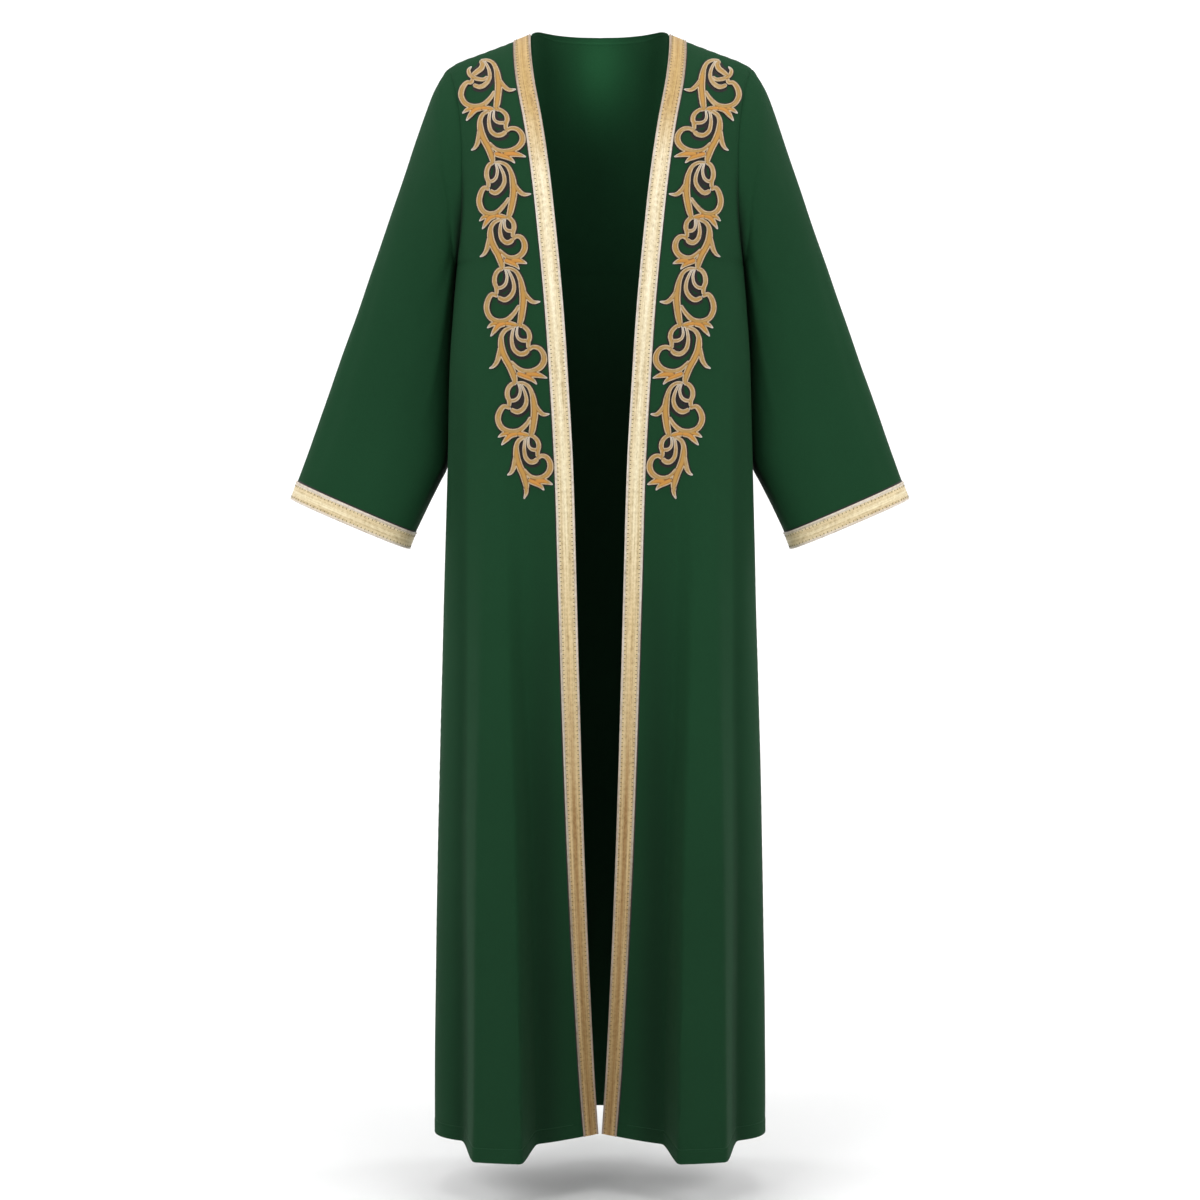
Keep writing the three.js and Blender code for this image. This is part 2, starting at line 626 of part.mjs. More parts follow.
function sleeveRing(cut) {
  const outer = new THREE.Vector3(cut.outerX, cut.middleY, cut.outerZ);
  const inner = new THREE.Vector3(cut.innerX, cut.middleY, cut.innerZ);
  return places.map((place, i) => {
    const oval = ovalPlace(i);
    const point = outer.clone().lerp(inner, mix(place.along, oval.along, cut.fit));
    point.y += cut.depth * mix(place.across, oval.across, cut.fit);
    return point;
  });
}

const armholeRing = armhole.map((point) => point.clone().add(new THREE.Vector3(-SEAM_GAP, 0, 0)));
const sleeveGrid = [armholeRing, ...SLEEVE.map(sleeveRing)];
const sleeveNormals = normalsOf(sleeveGrid, true, -1);
sleeveNormals[0].forEach((normal) => normal.setX(0).normalize());
const sleeve = wallBetween(sleeveGrid, moved(sleeveGrid, sleeveNormals, -WALL), true);

// The braid round the sleeve's end lies on its last two cuts.
const cuffBraid = wallBetween(
  moved(sleeveGrid, sleeveNormals, BRAID_GAP + BRAID_THICK).slice(-2),
  moved(sleeveGrid, sleeveNormals, BRAID_GAP).slice(-2),
  true,
);

const abaya = new THREE.Group();
function add(name, geometry, material) {
  const mesh = new THREE.Mesh(geometry, material);
  mesh.name = name;
  abaya.add(mesh);
}

add("back", back, CLOTH);
for (const [side, place] of [
  ["right", (geometry) => geometry],
  ["left", mirrorGeometry],
]) {
  add(`front_${side}`, place(front), CLOTH);
  add(`sleeve_${side}`, place(sleeve), CLOTH);
  add(`front_braid_${side}`, place(frontBraid), GOLD_BRAID);
  add(`cuff_braid_${side}`, place(cuffBraid), GOLD_BRAID);
  add(`embroidery_${side}`, place(scroll), GOLD_THREAD);
}

export default abaya;
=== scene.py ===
import bpy
import math
import numpy as np
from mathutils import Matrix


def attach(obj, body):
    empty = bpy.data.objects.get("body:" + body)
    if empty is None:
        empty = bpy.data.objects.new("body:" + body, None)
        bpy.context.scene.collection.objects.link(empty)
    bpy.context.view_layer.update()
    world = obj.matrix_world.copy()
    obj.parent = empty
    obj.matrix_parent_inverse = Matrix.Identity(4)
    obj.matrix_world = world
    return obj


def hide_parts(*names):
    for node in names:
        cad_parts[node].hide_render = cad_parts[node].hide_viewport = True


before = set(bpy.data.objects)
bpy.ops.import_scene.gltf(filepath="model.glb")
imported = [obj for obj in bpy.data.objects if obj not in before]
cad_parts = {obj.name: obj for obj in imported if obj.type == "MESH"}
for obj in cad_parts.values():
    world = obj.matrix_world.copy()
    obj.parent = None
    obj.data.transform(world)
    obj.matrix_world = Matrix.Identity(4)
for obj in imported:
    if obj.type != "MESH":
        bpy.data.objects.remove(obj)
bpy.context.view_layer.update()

# Curves and tables


def smooth(t):
    """0 below 0, 1 above 1, and t * t * (3 - 2t) between."""
    t = np.clip(t, 0, 1)
    return t * t * (3 - 2 * t)


def mix(a, b, share):
    """a where share is 0, b where it is 1, and in proportion between."""
    return a + (b - a) * share


def bump(distance, width):
    """A bell shape, exp(-(distance / width) squared)."""
    return np.exp(-((distance / width) ** 2))


def curve(at, value):
    """A smooth curve through values: cubics whose slope at each point is that of the line between
    its two neighbours."""
    at, value = np.asarray(at, float), np.asarray(value, float)
    low = np.maximum(np.arange(len(at)) - 1, 0)
    high = np.minimum(np.arange(len(at)) + 1, len(at) - 1)
    slope = (value[high] - value[low]) / (at[high] - at[low])

    def read(where):
        """The cubic between the two points on either side of a place, held at the ends."""
        where = np.clip(where, at[0], at[-1])
        i = np.clip(np.searchsorted(at, where, side="right") - 1, 0, len(at) - 2)
        span = at[i + 1] - at[i]
        t = (where - at[i]) / span
        bend = span * (t * (1 - t) ** 2 * slope[i] - t * t * (1 - t) * slope[i + 1])
        return mix(value[i], value[i + 1], t * t * (3 - 2 * t)) + bend

    return read


def table(names, rows):
    """One curve for each column of a table, by name. The rows rise by the first column."""
    columns = np.array(rows, float).T
    return {name: curve(columns[0], column) for name, column in zip(names.split(), columns)}


# The garment's form

hemZ = -1387
chestZ = -295
braidWidth = 23
neckOut = 87.6
edgeTurn = 80          # the front edge turns back over this much of the panel
edgeTurnPower = 1.2
chestSquare = 2.5
frontRound = 1.15
backRound = 0.85
sleeveSquare = 2.6

# The body cut across: half its width at the side seam, where that seam lies, how far the cloth
# stands out in front, behind and at the front edge, half the opening, and the corner power.
section = table("z halfWidth sideY front back edge open square", [
    (-1387, 209.6, -3, 82, 103, 32, 2.5, 3.1),
    (-1300, 209.4, -4, 86, 102, 42, 8.0, 3.1),
    (-1100, 207.1, -7, 93, 99, 62, 17.0, 3.0),
    (-900, 202.6, -11, 99, 96, 80, 23.5, 2.9),
    (-700, 196.4, -17, 106, 94, 96, 28.7, 2.8),
    (-545, 191.4, -22, 112, 92, 108, 33.0, 2.7),
    (-415, 188.4, -22, 119, 93, 117, 40.2, 2.6),
    (-350, 184.6, -15, 122, 95, 121, 44.7, 2.5),
    (-295, 181.0, -6, 124, 97, 123, 49.5, 2.5),
])
# Above the underarm the rows rise round the shoulder by an angle, 0 at the chest, 90 on the seam.
shoulderRows = [
    (0, 181.0, 181.0), (2.4, 181.4, 178.9), (6, 182.4, 176.4), (11, 184.2, 174.2),
    (18, 187.0, 172.6), (27, 191.2, 171.8), (37, 196.4, 172.8), (48, 202.0, 176.6),
    (59, 206.8, 182.0), (70, 211.0, 187.4), (80, 214.0, 191.2), (90, 216.0, 194.0),
]
shoulder = table("angle width armhole", shoulderRows)
neckline = table("out y z", [
    (0, 80, 12.0), (30, 76, 12.0), (55, 61, 11.5), (70, 44, 11.0),
    (78, 28, 9.5), (84, 12, 5.5), (87.6, 0, 0.5),
])
shoulderSeam = table("out z", [
    (87.6, 0.5), (120, -12.0), (156, -25.5), (177, -33.5), (194, -43.0),
])
neckOpening = table("z open", [
    (-295, 49.5), (-220, 57.3), (-169, 63.7), (-118, 71.5), (-68, 80.9), (-30, 85.8), (0.5, 87.6),
])
# The deep fold that stands forward in each front, and the softer one in each half of the back.
frontFlute = table("z centre half wall depth dip", [
    (-1387, 124.8, 38, 20, 70, 5), (-1200, 125.5, 36, 22, 56, 4), (-1000, 127.0, 33, 24, 40, 2.5),
    (-800, 129.0, 28, 26, 24, 1), (-600, 131.0, 24, 30, 10, 0), (-420, 132.0, 22, 34, 0, 0),
])
backFlute = table("z centre half wall depth dip", [
    (-1387, 104, 31, 32, 40, 3), (-1000, 108, 28, 34, 24, 1), (-650, 114, 26, 36, 8, 0),
    (-420, 118, 24, 40, 0, 0),
])
# The sleeve's cuts: a point on the upper arm line, one on the underarm line, where the middle lies,
# how far it stands out from there, and how far it has left the armhole's shape for a squared oval.
sleeveCut = table("row outerX outerZ innerX innerZ middleY depth fit", [
    (0, -203.5, -59, -183.6, -303, -1, 62, 0.12),
    (1, -213.8, -80, -185.0, -318, 1, 63, 0.25),
    (2, -233.5, -136, -185.8, -352, 6, 62, 0.5),
    (3, -256.5, -201, -186.8, -394, 11, 60, 0.75),
    (4, -282.0, -274, -187.6, -440, 14, 58, 0.9),
    (5, -307.5, -347, -188.2, -485, 16, 56, 1),
    (6, -330.0, -411, -190.4, -526, 15, 54, 1),
    (7, -341.0, -442, -195.0, -548, 14, 53, 1),
    (8, -351.0, -471, -204.8, -567, 12, 52, 1),
    (9, -368.5, -521, -219.5, -596, 9, 51, 1),
    (10, -383.6, -564, -234.8, -629, 6, 50, 1),
    (11, -391.6, -586.6, -243.2, -650, 5, 50, 1),
])


def foldAt(flute, out, z):
    """How far a fold stands out and drops: its depth and dip times a smooth step up at its inner
    side and one down at its outer side."""
    inner = smooth((out - flute["centre"](z) + flute["half"](z)) / flute["wall"](z) + 0.5)
    outer = smooth((flute["centre"](z) + flute["half"](z) - out) / flute["wall"](z) + 0.5)
    return flute["depth"](z) * inner * outer, flute["dip"](z) * inner * outer


def bodyPoints(z, angle, out, isFront):
    """Points of the body's outer face. A row is a squared oval: the cloth falls back by
    (1 - (out / width) ^ square) ^ (1 / square). Above the chest the row rises by sin(angle) to the
    shoulder seam or neckline, and its depth shrinks by a power of cos(angle)."""
    width = np.where(angle > 0, shoulder["width"](angle), section["halfWidth"](z))
    square = np.where(angle > 0, chestSquare, section["square"](z))
    fall = np.maximum(0, 1 - np.minimum(1, out / width) ** square) ** (1 / square)
    sideY = section["sideY"](z)
    rise, level = np.sin(np.radians(angle)), np.maximum(0, np.cos(np.radians(angle)))
    if isFront:
        turned = np.clip((out - section["open"](z)) / edgeTurn, 0, 1)
        front = section["front"](z)
        stand = front - (front - section["edge"](z)) * (1 - turned) ** edgeTurnPower
        depth, dip = foldAt(frontFlute, out, z)
        y = (sideY - (stand + sideY) * fall - depth) * level ** frontRound
        return np.stack(np.broadcast_arrays(-out, y, mix(z, shoulderSeam["z"](out), rise) - dip), axis=-1)
    depth, dip = foldAt(backFlute, out, z)
    y = sideY + (section["back"](z) - sideY) * fall + depth
    nearNeck = 1 - smooth(out / (neckOut / 2) - 1)
    climb = mix(rise, angle / 90, nearNeck)
    topZ = np.where(out < neckOut, neckline["z"](out), shoulderSeam["z"](out))
    topY = np.where(out < neckOut, neckline["y"](out), 0)
    y = topY + (y - topY) * level ** backRound
    return np.stack(np.broadcast_arrays(-out, y, mix(z, topZ, climb) - dip), axis=-1)


def lengths(points):
    """Distance along each row of a grid of points, from its first point."""
    steps = np.linalg.norm(np.diff(points, axis=1), axis=2)
    return np.concatenate([np.zeros((len(points), 1)), np.cumsum(steps, axis=1)], axis=1)


def walk(z, angle, start, end, isFront, spread):
    """Points along rows of the body from one distance out to another. Each row is measured over 500
    close steps, and spread turns its whole length into the distances wanted along it."""
    width = np.where(angle > 0, shoulder["width"](angle), section["halfWidth"](z))
    half = np.where(angle > 0, chestSquare, section["square"](z)) / 2
    fromTurn = np.arcsin(np.minimum(1, start / width) ** half)
    toTurn = np.arcsin(np.minimum(1, end / width) ** half)
    turn = mix(fromTurn[:, None], toTurn[:, None], np.linspace(0, 1, 500))
    out = width[:, None] * np.sin(turn) ** (1 / half[:, None])
    fine = bodyPoints(z[:, None], angle[:, None], out, isFront)
    along = lengths(fine)
    grid = []
    for row, distance in zip(fine, along):
        wanted = spread(distance[-1])
        grid.append(np.stack([np.interp(wanted, distance, row[:, axis]) for axis in range(3)], axis=-1))
    return np.array(grid)


def openingAt(z, angle):
    """Half the front opening on each row: the section's own below the chest, the neck's above it."""
    out = np.full(len(z), float(neckOut))
    for _ in range(8):
        out = neckOpening["open"](mix(chestZ, shoulderSeam["z"](out), np.sin(np.radians(angle))))
    return np.where(angle > 0, out, section["open"](z))


def outerEnd(z, angle):
    """How far out each row ends: at the side seam, or at the armhole above the underarm."""
    return np.where(angle > 0, shoulder["armhole"](angle), section["halfWidth"](z))


def heightField(out, z):
    """Y of a front's outer face at a distance out and a height. Above the chest the row's angle comes
    from how far the point has climbed towards the shoulder seam."""
    climbed = (z - chestZ) / (shoulderSeam["z"](out) - chestZ)
    angle = np.degrees(np.arcsin(np.clip(climbed, 0, 1)))
    return bodyPoints(np.minimum(z, chestZ), angle, out, True)[..., 1]


# Creases and seams

# Soft lines listed for each piece: from (out, z) to (out, z), how far the middle bends
#  outwards, the width of the line, and its depth, which is negative for a groove.
frontCreases = {
    -1: [
        (168, -330, 150, -1330, 8, 15, 1.6), (96, -640, 74, -1350, -6, 18, -1.5),
        (60, -760, 52, -1380, 3, 13, 1.1), (150, -260, 128, -420, 6, 13, -1.1),
        (176, -316, 140, -560, -10, 11, 1.3), (118, -470, 150, -560, 5, 9, -0.7),
        (84, -940, 120, -1010, -4, 8, 0.5), (182, -620, 196, -1280, 5, 13, -1.3),
    ],
    1: [
        (172, -350, 156, -1310, 10, 16, 1.5), (92, -600, 78, -1340, -8, 17, -1.4),
        (56, -820, 48, -1370, 4, 14, 1.2), (154, -250, 132, -400, 5, 12, -1.0),
        (174, -310, 146, -530, -8, 12, 1.4), (184, -560, 198, -1250, 6, 12, -1.2),
        (112, -520, 148, -590, 4, 9, -0.6), (90, -1060, 118, -1120, 3, 8, 0.5),
    ],
}
backCreases = [
    (30, -60, 12, -1300, 10, 24, -1.8), (-42, -120, -30, -1340, -8, 22, 1.6),
    (90, -160, 66, -1330, 14, 18, 1.7), (-96, -200, -64, -1320, -12, 19, -1.6),
    (150, -240, 120, -700, 12, 15, -1.5), (-152, -230, -118, -760, -14, 16, 1.5),
    (176, -320, 160, -1290, 7, 15, 1.5), (-178, -330, -164, -1270, -8, 15, -1.4),
    (60, -20, 130, -90, -8, 12, 0.9), (-58, -24, -128, -96, 8, 12, 0.9),
    (20, -420, 60, -520, 4, 12, -0.7), (-24, -700, -70, -790, 5, 12, 0.7),
]


def creasesAt(creases, out, z):
    """The height of all the creases at a place: each is its depth times a bell across its bent line,
    fading out over a quarter of it at both ends."""
    height = np.zeros(np.broadcast(out, z).shape)
    for out0, z0, out1, z1, bend, width, depth in creases:
        alongOut, alongZ = out1 - out0, z1 - z0
        length = math.hypot(alongOut, alongZ)
        t = ((out - out0) * alongOut + (z - z0) * alongZ) / length**2
        across = ((z - z0) * alongOut - (out - out0) * alongZ) / length - bend * 4 * t * (1 - t)
        height = height + depth * bump(across, width) * smooth(4 * t) * smooth(4 * (1 - t))
    return height


def waviness(x, z, phase):
    """A low unevenness: three slow waves that cross each other."""
    slow = np.sin(x / 43 + 2.1 * np.sin(z / 190 + phase)) * np.sin(z / 97 + phase)
    long = np.sin(x / 26 + 1.3 * np.sin(z / 240 + 2 * phase))
    small = np.sin(x / 17 + z / 61 + phase) * np.sin(z / 33 - x / 45)
    return 0.34 * slow + 0.3 * long + 0.14 * small


def frontRelief(out, z, side):
    """How far a front's cloth stands off its plain form, less towards the front edge."""
    nearEdge = 0.35 + 0.65 * smooth((out - 45) / 60)
    return (creasesAt(frontCreases[side], out, z) + waviness(out, z, 1.7 * side)) * nearEdge


seamLook = {
    "depth": 0.8,        # how far the cloth rolls in at a seam, and over which width
    "width": 2.0,
    "pucker": 0.2,
    "puckerPitch": 14,
    "hemRise": 0.3,      # how far a turned hem stands up, and its stitching draws the cloth in
    "hemDraw": 0.45,
}


def seamDip(distance, along, phase):
    """A seam: the cloth rolls in at the line, and puckers a little beside it."""
    look = seamLook
    pucker = np.sin(2 * np.pi * along / look["puckerPitch"] + 1.7 * np.sin(along / 37 + phase))
    rolled = look["depth"] * bump(distance, look["width"])
    return look["pucker"] * bump(distance - 6, 5) * pucker - rolled


def hemRelief(distance, depth):
    """A turned hem: slightly raised up to its stitching, which draws the cloth in."""
    beyond = distance - depth
    return seamLook["hemRise"] * (1 - smooth(beyond / 1.5 + 0.5)) - seamLook["hemDraw"] * bump(beyond, 1.1)


# Meshes


def gridFaces(rows, columns, closed, start=0):
    """Quads between neighbouring points of a grid, and round to its first column when closed."""
    r = np.arange(rows - 1)[:, None] * columns
    c = np.arange(columns if closed else columns - 1)[None, :]
    following = (c + 1) % columns
    return start + np.stack(
        [r + c, r + following, r + columns + following, r + columns + c], axis=-1
    ).reshape(-1, 4)


def normalsOf(points, closed):
    """Outward normals of a grid, from the differences between neighbouring points."""
    if closed:
        across = np.roll(points, -1, axis=1) - np.roll(points, 1, axis=1)
    else:
        across = np.gradient(points, axis=1)
    normals = np.cross(np.gradient(points, axis=0), across)
    return normals / np.maximum(1e-9, np.linalg.norm(normals, axis=2, keepdims=True))


def borderFaces(grid, closed):
    """Quads that join the rim of an outer grid to that of an inner one of the same size behind it."""
    rows, columns = grid
    inner = rows * columns
    first, last = np.arange(columns), (rows - 1) * columns + np.arange(columns)
    rims = [first[::-1], last]
    if closed:
        rims = [np.append(rim, rim[0]) for rim in rims]
    else:
        left = np.arange(rows) * columns
        rims += [left, left[::-1] + columns - 1]
    return np.concatenate([
        np.stack([rim[1:], rim[:-1], inner + rim[:-1], inner + rim[1:]], axis=-1) for rim in rims
    ])


def makeMesh(name, points, faces, materials, uv=None, slotOf=None, tone=None):
    """An object from points in millimetres and quads, smooth but for edges sharper than 50 degrees."""
    mesh = bpy.data.meshes.new(name)
    mesh.vertices.add(len(points))
    mesh.vertices.foreach_set("co", (points * 0.001).ravel())
    mesh.loops.add(faces.size)
    mesh.loops.foreach_set("vertex_index", faces.ravel())
    mesh.polygons.add(len(faces))
    mesh.polygons.foreach_set("loop_start", np.arange(0, faces.size, 4))
    mesh.polygons.foreach_set("use_smooth", np.ones(len(faces), bool))
    if slotOf is not None:
        mesh.polygons.foreach_set("material_index", slotOf)
    if uv is not None:
        mesh.uv_layers.new(name="UVMap").data.foreach_set("uv", uv[faces.ravel()].ravel())
    if tone is not None:
        mesh.attributes.new("tone", "FLOAT", "POINT").data.foreach_set("value", tone)
    mesh.update(calc_edges=True)
    mesh.set_sharp_from_angle(angle=math.radians(50))
    for material in materials:
        mesh.materials.append(material)
    piece = bpy.data.objects.new(name, mesh)
    bpy.context.scene.collection.objects.link(piece)
    return piece


def mirrored(points, faces, side):
    """The same points and quads, put on the other side of the body when side is 1."""
    if side < 0:
        return points, faces
    return points * np.array([-1, 1, 1]), faces[:, ::-1]


def clothPiece(name, points, normals, relief, closed, side, tones):
    """A thin closed shell of cloth: its outer face is moved along the normals by the relief, and its
    inner face lies a thickness behind. Tones are how light each face's points are painted: painted light and
    shade."""
    outer = points + normals * relief[..., None]
    inner = outer - normals * bodyLook["thickness"]
    rows, columns = relief.shape
    front = gridFaces(rows, columns, closed)[:, ::-1]
    behind = gridFaces(rows, columns, closed, rows * columns)
    faces = np.concatenate([front, behind, borderFaces((rows, columns), closed)])
    vertices = np.concatenate([outer.reshape(-1, 3), inner.reshape(-1, 3)])
    up = lengths(np.swapaxes(points, 0, 1)).T
    flat = np.stack([lengths(points), up], axis=-1).reshape(-1, 2) * 0.001
    vertices, faces = mirrored(vertices, faces, side)
    tone = np.concatenate([np.broadcast_to(part, relief.shape).ravel() for part in tones])
    return makeMesh(name, vertices, faces, [crepe], uv=np.concatenate([flat, flat]), tone=tone)


# Node materials


def colour(red, green, blue):
    """A screen colour from 0 to 255 as the linear colour that a shader takes."""
    scaled = np.array([red, green, blue]) / 255
    linear = np.where(scaled <= 0.04045, scaled / 12.92, ((scaled + 0.055) / 1.055) ** 2.4)
    return (*linear.tolist(), 1.0)


def newMaterial(name, **sockets):
    """A material, its node tree and its shader with its unvarying values set."""
    material = bpy.data.materials.new(name)
    material.use_nodes = True
    shader = material.node_tree.nodes["Principled BSDF"]
    for key, value in sockets.items():
        shader.inputs[key.replace("_", " ")].default_value = value
    return material, material.node_tree, shader


def addNode(tree, kind, inputs, **settings):
    """A node with its settings and inputs: a socket is linked, and any other value is set."""
    node = tree.nodes.new(kind)
    for name, value in settings.items():
        setattr(node, name, value)
    for key, value in inputs.items():
        if isinstance(value, bpy.types.NodeSocket):
            tree.links.new(value, node.inputs[key])
        else:
            node.inputs[key].default_value = value
    return node


def calc(tree, operation, *values):
    """The output of a maths node."""
    return addNode(tree, "ShaderNodeMath", dict(enumerate(values)), operation=operation).outputs[0]


def noise(tree, where, scale, detail=2.0):
    """The value of a noise at a place."""
    inputs = {"Vector": where, "Scale": scale, "Detail": detail}
    return addNode(tree, "ShaderNodeTexNoise", inputs).outputs[0]


def ramp(tree, factor, stops):
    """Colours along a factor, from stops of (place, colour)."""
    node = addNode(tree, "ShaderNodeValToRGB", {0: factor})
    while len(node.color_ramp.elements) < len(stops):
        node.color_ramp.elements.new(0.5)
    for element, (place, shade) in zip(node.color_ramp.elements, stops):
        element.position = place
        element.color = shade
    return node.outputs[0]


def blend(tree, factor, a, b, kind="MIX"):
    """Two colours mixed by a factor."""
    inputs = {"Factor": factor, 6: a, 7: b}
    return addNode(tree, "ShaderNodeMix", inputs, data_type="RGBA", blend_type=kind).outputs[2]


def coordinates(tree):
    """A surface's texture coordinates, and the parts of its UV."""
    place = addNode(tree, "ShaderNodeTexCoord", {}).outputs
    return place, addNode(tree, "ShaderNodeSeparateXYZ", {0: place["UV"]}).outputs


def toneOf(tree):
    """The tone that a mesh gives to each of its points."""
    return addNode(tree, "ShaderNodeAttribute", {}, attribute_name="tone").outputs["Fac"]


def finishMaterial(tree, shader, paint, height, distance, strength):
    """A shader's colour, and the bump that a height gives it."""
    tree.links.new(paint, shader.inputs["Base Color"])
    raised = addNode(tree, "ShaderNodeBump", {"Height": height, "Distance": distance, "Strength": strength})
    tree.links.new(raised.outputs[0], shader.inputs["Normal"])


clothLook = {
    "colour": colour(23, 64, 38),
    "shade": colour(19, 57, 33),
    "roughness": 0.85,
    "sheen": 0.05,
    "threadPitch": 0.0009,
    "grainScale": 900.0,
    "patchScale": 5.0,
    "bump": 0.55,
}


def clothMaterial(look):
    """A crepe: a fine plain weave with uneven threads, two near greens in slow patches, a little sheen, and
    painted light and shade from the tone attribute.
    """
    material, tree, shader = newMaterial(
        "green_crepe", Roughness=look["roughness"], Sheen_Weight=look["sheen"], Sheen_Roughness=0.45,
        Sheen_Tint=colour(120, 170, 130), Specular_IOR_Level=0.12,
    )
    place, uv = coordinates(tree)
    turns = 2 * math.pi / look["threadPitch"]
    warp = calc(tree, "SINE", calc(tree, "MULTIPLY", uv[0], turns))
    weft = calc(tree, "SINE", calc(tree, "MULTIPLY", uv[1], turns))
    weave = calc(tree, "MULTIPLY", warp, weft)
    grain = noise(tree, place["Object"], look["grainScale"], 3.0)
    patches = noise(tree, place["Object"], look["patchScale"], 3.0)
    body = blend(tree, patches, look["shade"], look["colour"])
    tone = toneOf(tree)
    # the tone attribute paints light and shade into the colour, on top of the weave's grain
    heatherAndShade = calc(tree, "MULTIPLY", tone, calc(tree, "MULTIPLY_ADD", grain, 0.5, 0.75))
    tint = addNode(tree, "ShaderNodeCombineXYZ", {0: heatherAndShade, 1: heatherAndShade, 2: heatherAndShade}).outputs[0]
    height = calc(tree, "MULTIPLY_ADD", weave, 0.35, grain)
    finishMaterial(tree, shader, blend(tree, 1.0, body, tint, "MULTIPLY"), height, 0.0003, look["bump"])
    return material


braidLook = {
    # Ramps from the hem, at 0, to the neck, at 1: their lighter stops at the chest are a painted highlight.
    "edge": [(0.0, colour(160, 144, 132)), (0.25, colour(186, 174, 160)), (0.6, colour(230, 222, 212)),
             (0.86, colour(232, 224, 214)), (0.95, colour(190, 174, 160)), (1.0, colour(184, 166, 150))],
    "band": [(0.0, colour(186, 156, 108)), (0.25, colour(202, 176, 130)), (0.45, colour(218, 198, 156)),
             (0.6, colour(232, 216, 178)), (0.86, colour(240, 226, 192)), (0.93, colour(208, 178, 126)),
             (1.0, colour(204, 174, 122))],
    "middle": [(0.0, colour(164, 132, 84)), (0.3, colour(174, 140, 92)), (0.47, colour(226, 204, 158)),
               (0.6, colour(246, 236, 204)), (0.86, colour(252, 242, 214)), (0.93, colour(206, 176, 118)),
               (1.0, colour(188, 154, 98))],
    "tick": colour(92, 84, 56),
    # the dark strip beside a braid, a painted shadow
    "outline": colour(34, 30, 28),
    "perMetre": 0.714,       # the colours run over the 1.4 m from the hem, at 0, to the neck, at 1
    "twistPitch": 0.0016,
    "roughness": 0.5,
    "metallic": 0.15,
    "bump": 0.6,
}


def braidMaterial(look):
    """A woven metallic galloon: pinkish edges, a gold band and a lighter middle, each painted brightest
    at the chest as a painted highlight, with blotchy threads under a painted sheen and a slanting
    twist. U is metres across, V metres along."""
    material, tree, shader = newMaterial(
        "gold_braid", Roughness=look["roughness"], Metallic=look["metallic"], Specular_IOR_Level=0.35,
    )
    place, uv = coordinates(tree)
    # height up the garment, which carries the painted highlight at the chest
    tall = addNode(tree, "ShaderNodeSeparateXYZ", {0: place["Object"]}).outputs[2]
    drift = calc(tree, "MULTIPLY_ADD", noise(tree, place["Object"], 14.0), 0.08, -0.04)
    up = calc(tree, "ADD", calc(tree, "MULTIPLY_ADD", tall, look["perMetre"], 1.0), drift)
    across = calc(tree, "DIVIDE", uv[0], braidWidth * 0.001)
    folded = calc(tree, "SUBTRACT", 0.5, calc(tree, "ABSOLUTE", calc(tree, "SUBTRACT", across, 0.5)))
    half = calc(tree, "MULTIPLY", folded, 2.0)
    black, white = (0, 0, 0, 1), (1, 1, 1, 1)
    inBand = ramp(tree, half, [(0.2, black), (0.32, white)])
    inMiddle = ramp(tree, half, [(0.62, black), (0.92, white)])
    bands = blend(tree, inBand, ramp(tree, up, look["edge"]), ramp(tree, up, look["band"]))
    bands = blend(tree, inMiddle, bands, ramp(tree, up, look["middle"]))
    stretched = addNode(tree, "ShaderNodeMapping", {0: place["UV"], 3: (1400, 330, 1)})
    threads = noise(tree, stretched.outputs[0], 1.0, 3.0)
    blotches = noise(tree, place["UV"], 190.0, 4.0)
    drawn = addNode(tree, "ShaderNodeMapping", {0: place["UV"], 3: (520, 9, 1)})
    streaks = noise(tree, drawn.outputs[0], 1.0, 2.0)
    spots = calc(tree, "MULTIPLY_ADD", threads, 0.3, calc(tree, "MULTIPLY", blotches, 0.3))
    # thread grain and a painted mottled sheen of the metal threads, multiplied into the colour
    threadMottleAndSheen = ramp(tree, calc(tree, "MULTIPLY_ADD", streaks, 0.4, spots), [
        (0.36, colour(186, 172, 150)), (0.47, colour(232, 226, 216)), (0.6, colour(255, 255, 255)),
    ])
    slant = calc(tree, "MULTIPLY_ADD", uv[0], 0.8, uv[1])
    twist = calc(tree, "SINE", calc(tree, "MULTIPLY", slant, 2 * math.pi / look["twistPitch"]))
    height = calc(tree, "MULTIPLY_ADD", twist, 0.3, threads)
    finishMaterial(tree, shader, blend(tree, 1.0, bands, threadMottleAndSheen, "MULTIPLY"), height, 0.0004, look["bump"])
    return material


threadLook = {
    "fill": [(0.0, colour(196, 134, 56)), (0.3, colour(182, 136, 62)), (0.5, colour(170, 134, 74)),
             (0.7, colour(184, 158, 118)), (1.0, colour(212, 206, 196))],
    "cord": colour(192, 168, 134),
    "cordTip": colour(214, 208, 200),
    "ground": colour(24, 13, 16),
    "stitch": colour(34, 78, 48),
    "threadPitch": 0.0007,
    "twistPitch": 0.0012,
    "roughness": 0.55,
    "bump": 0.5,
}


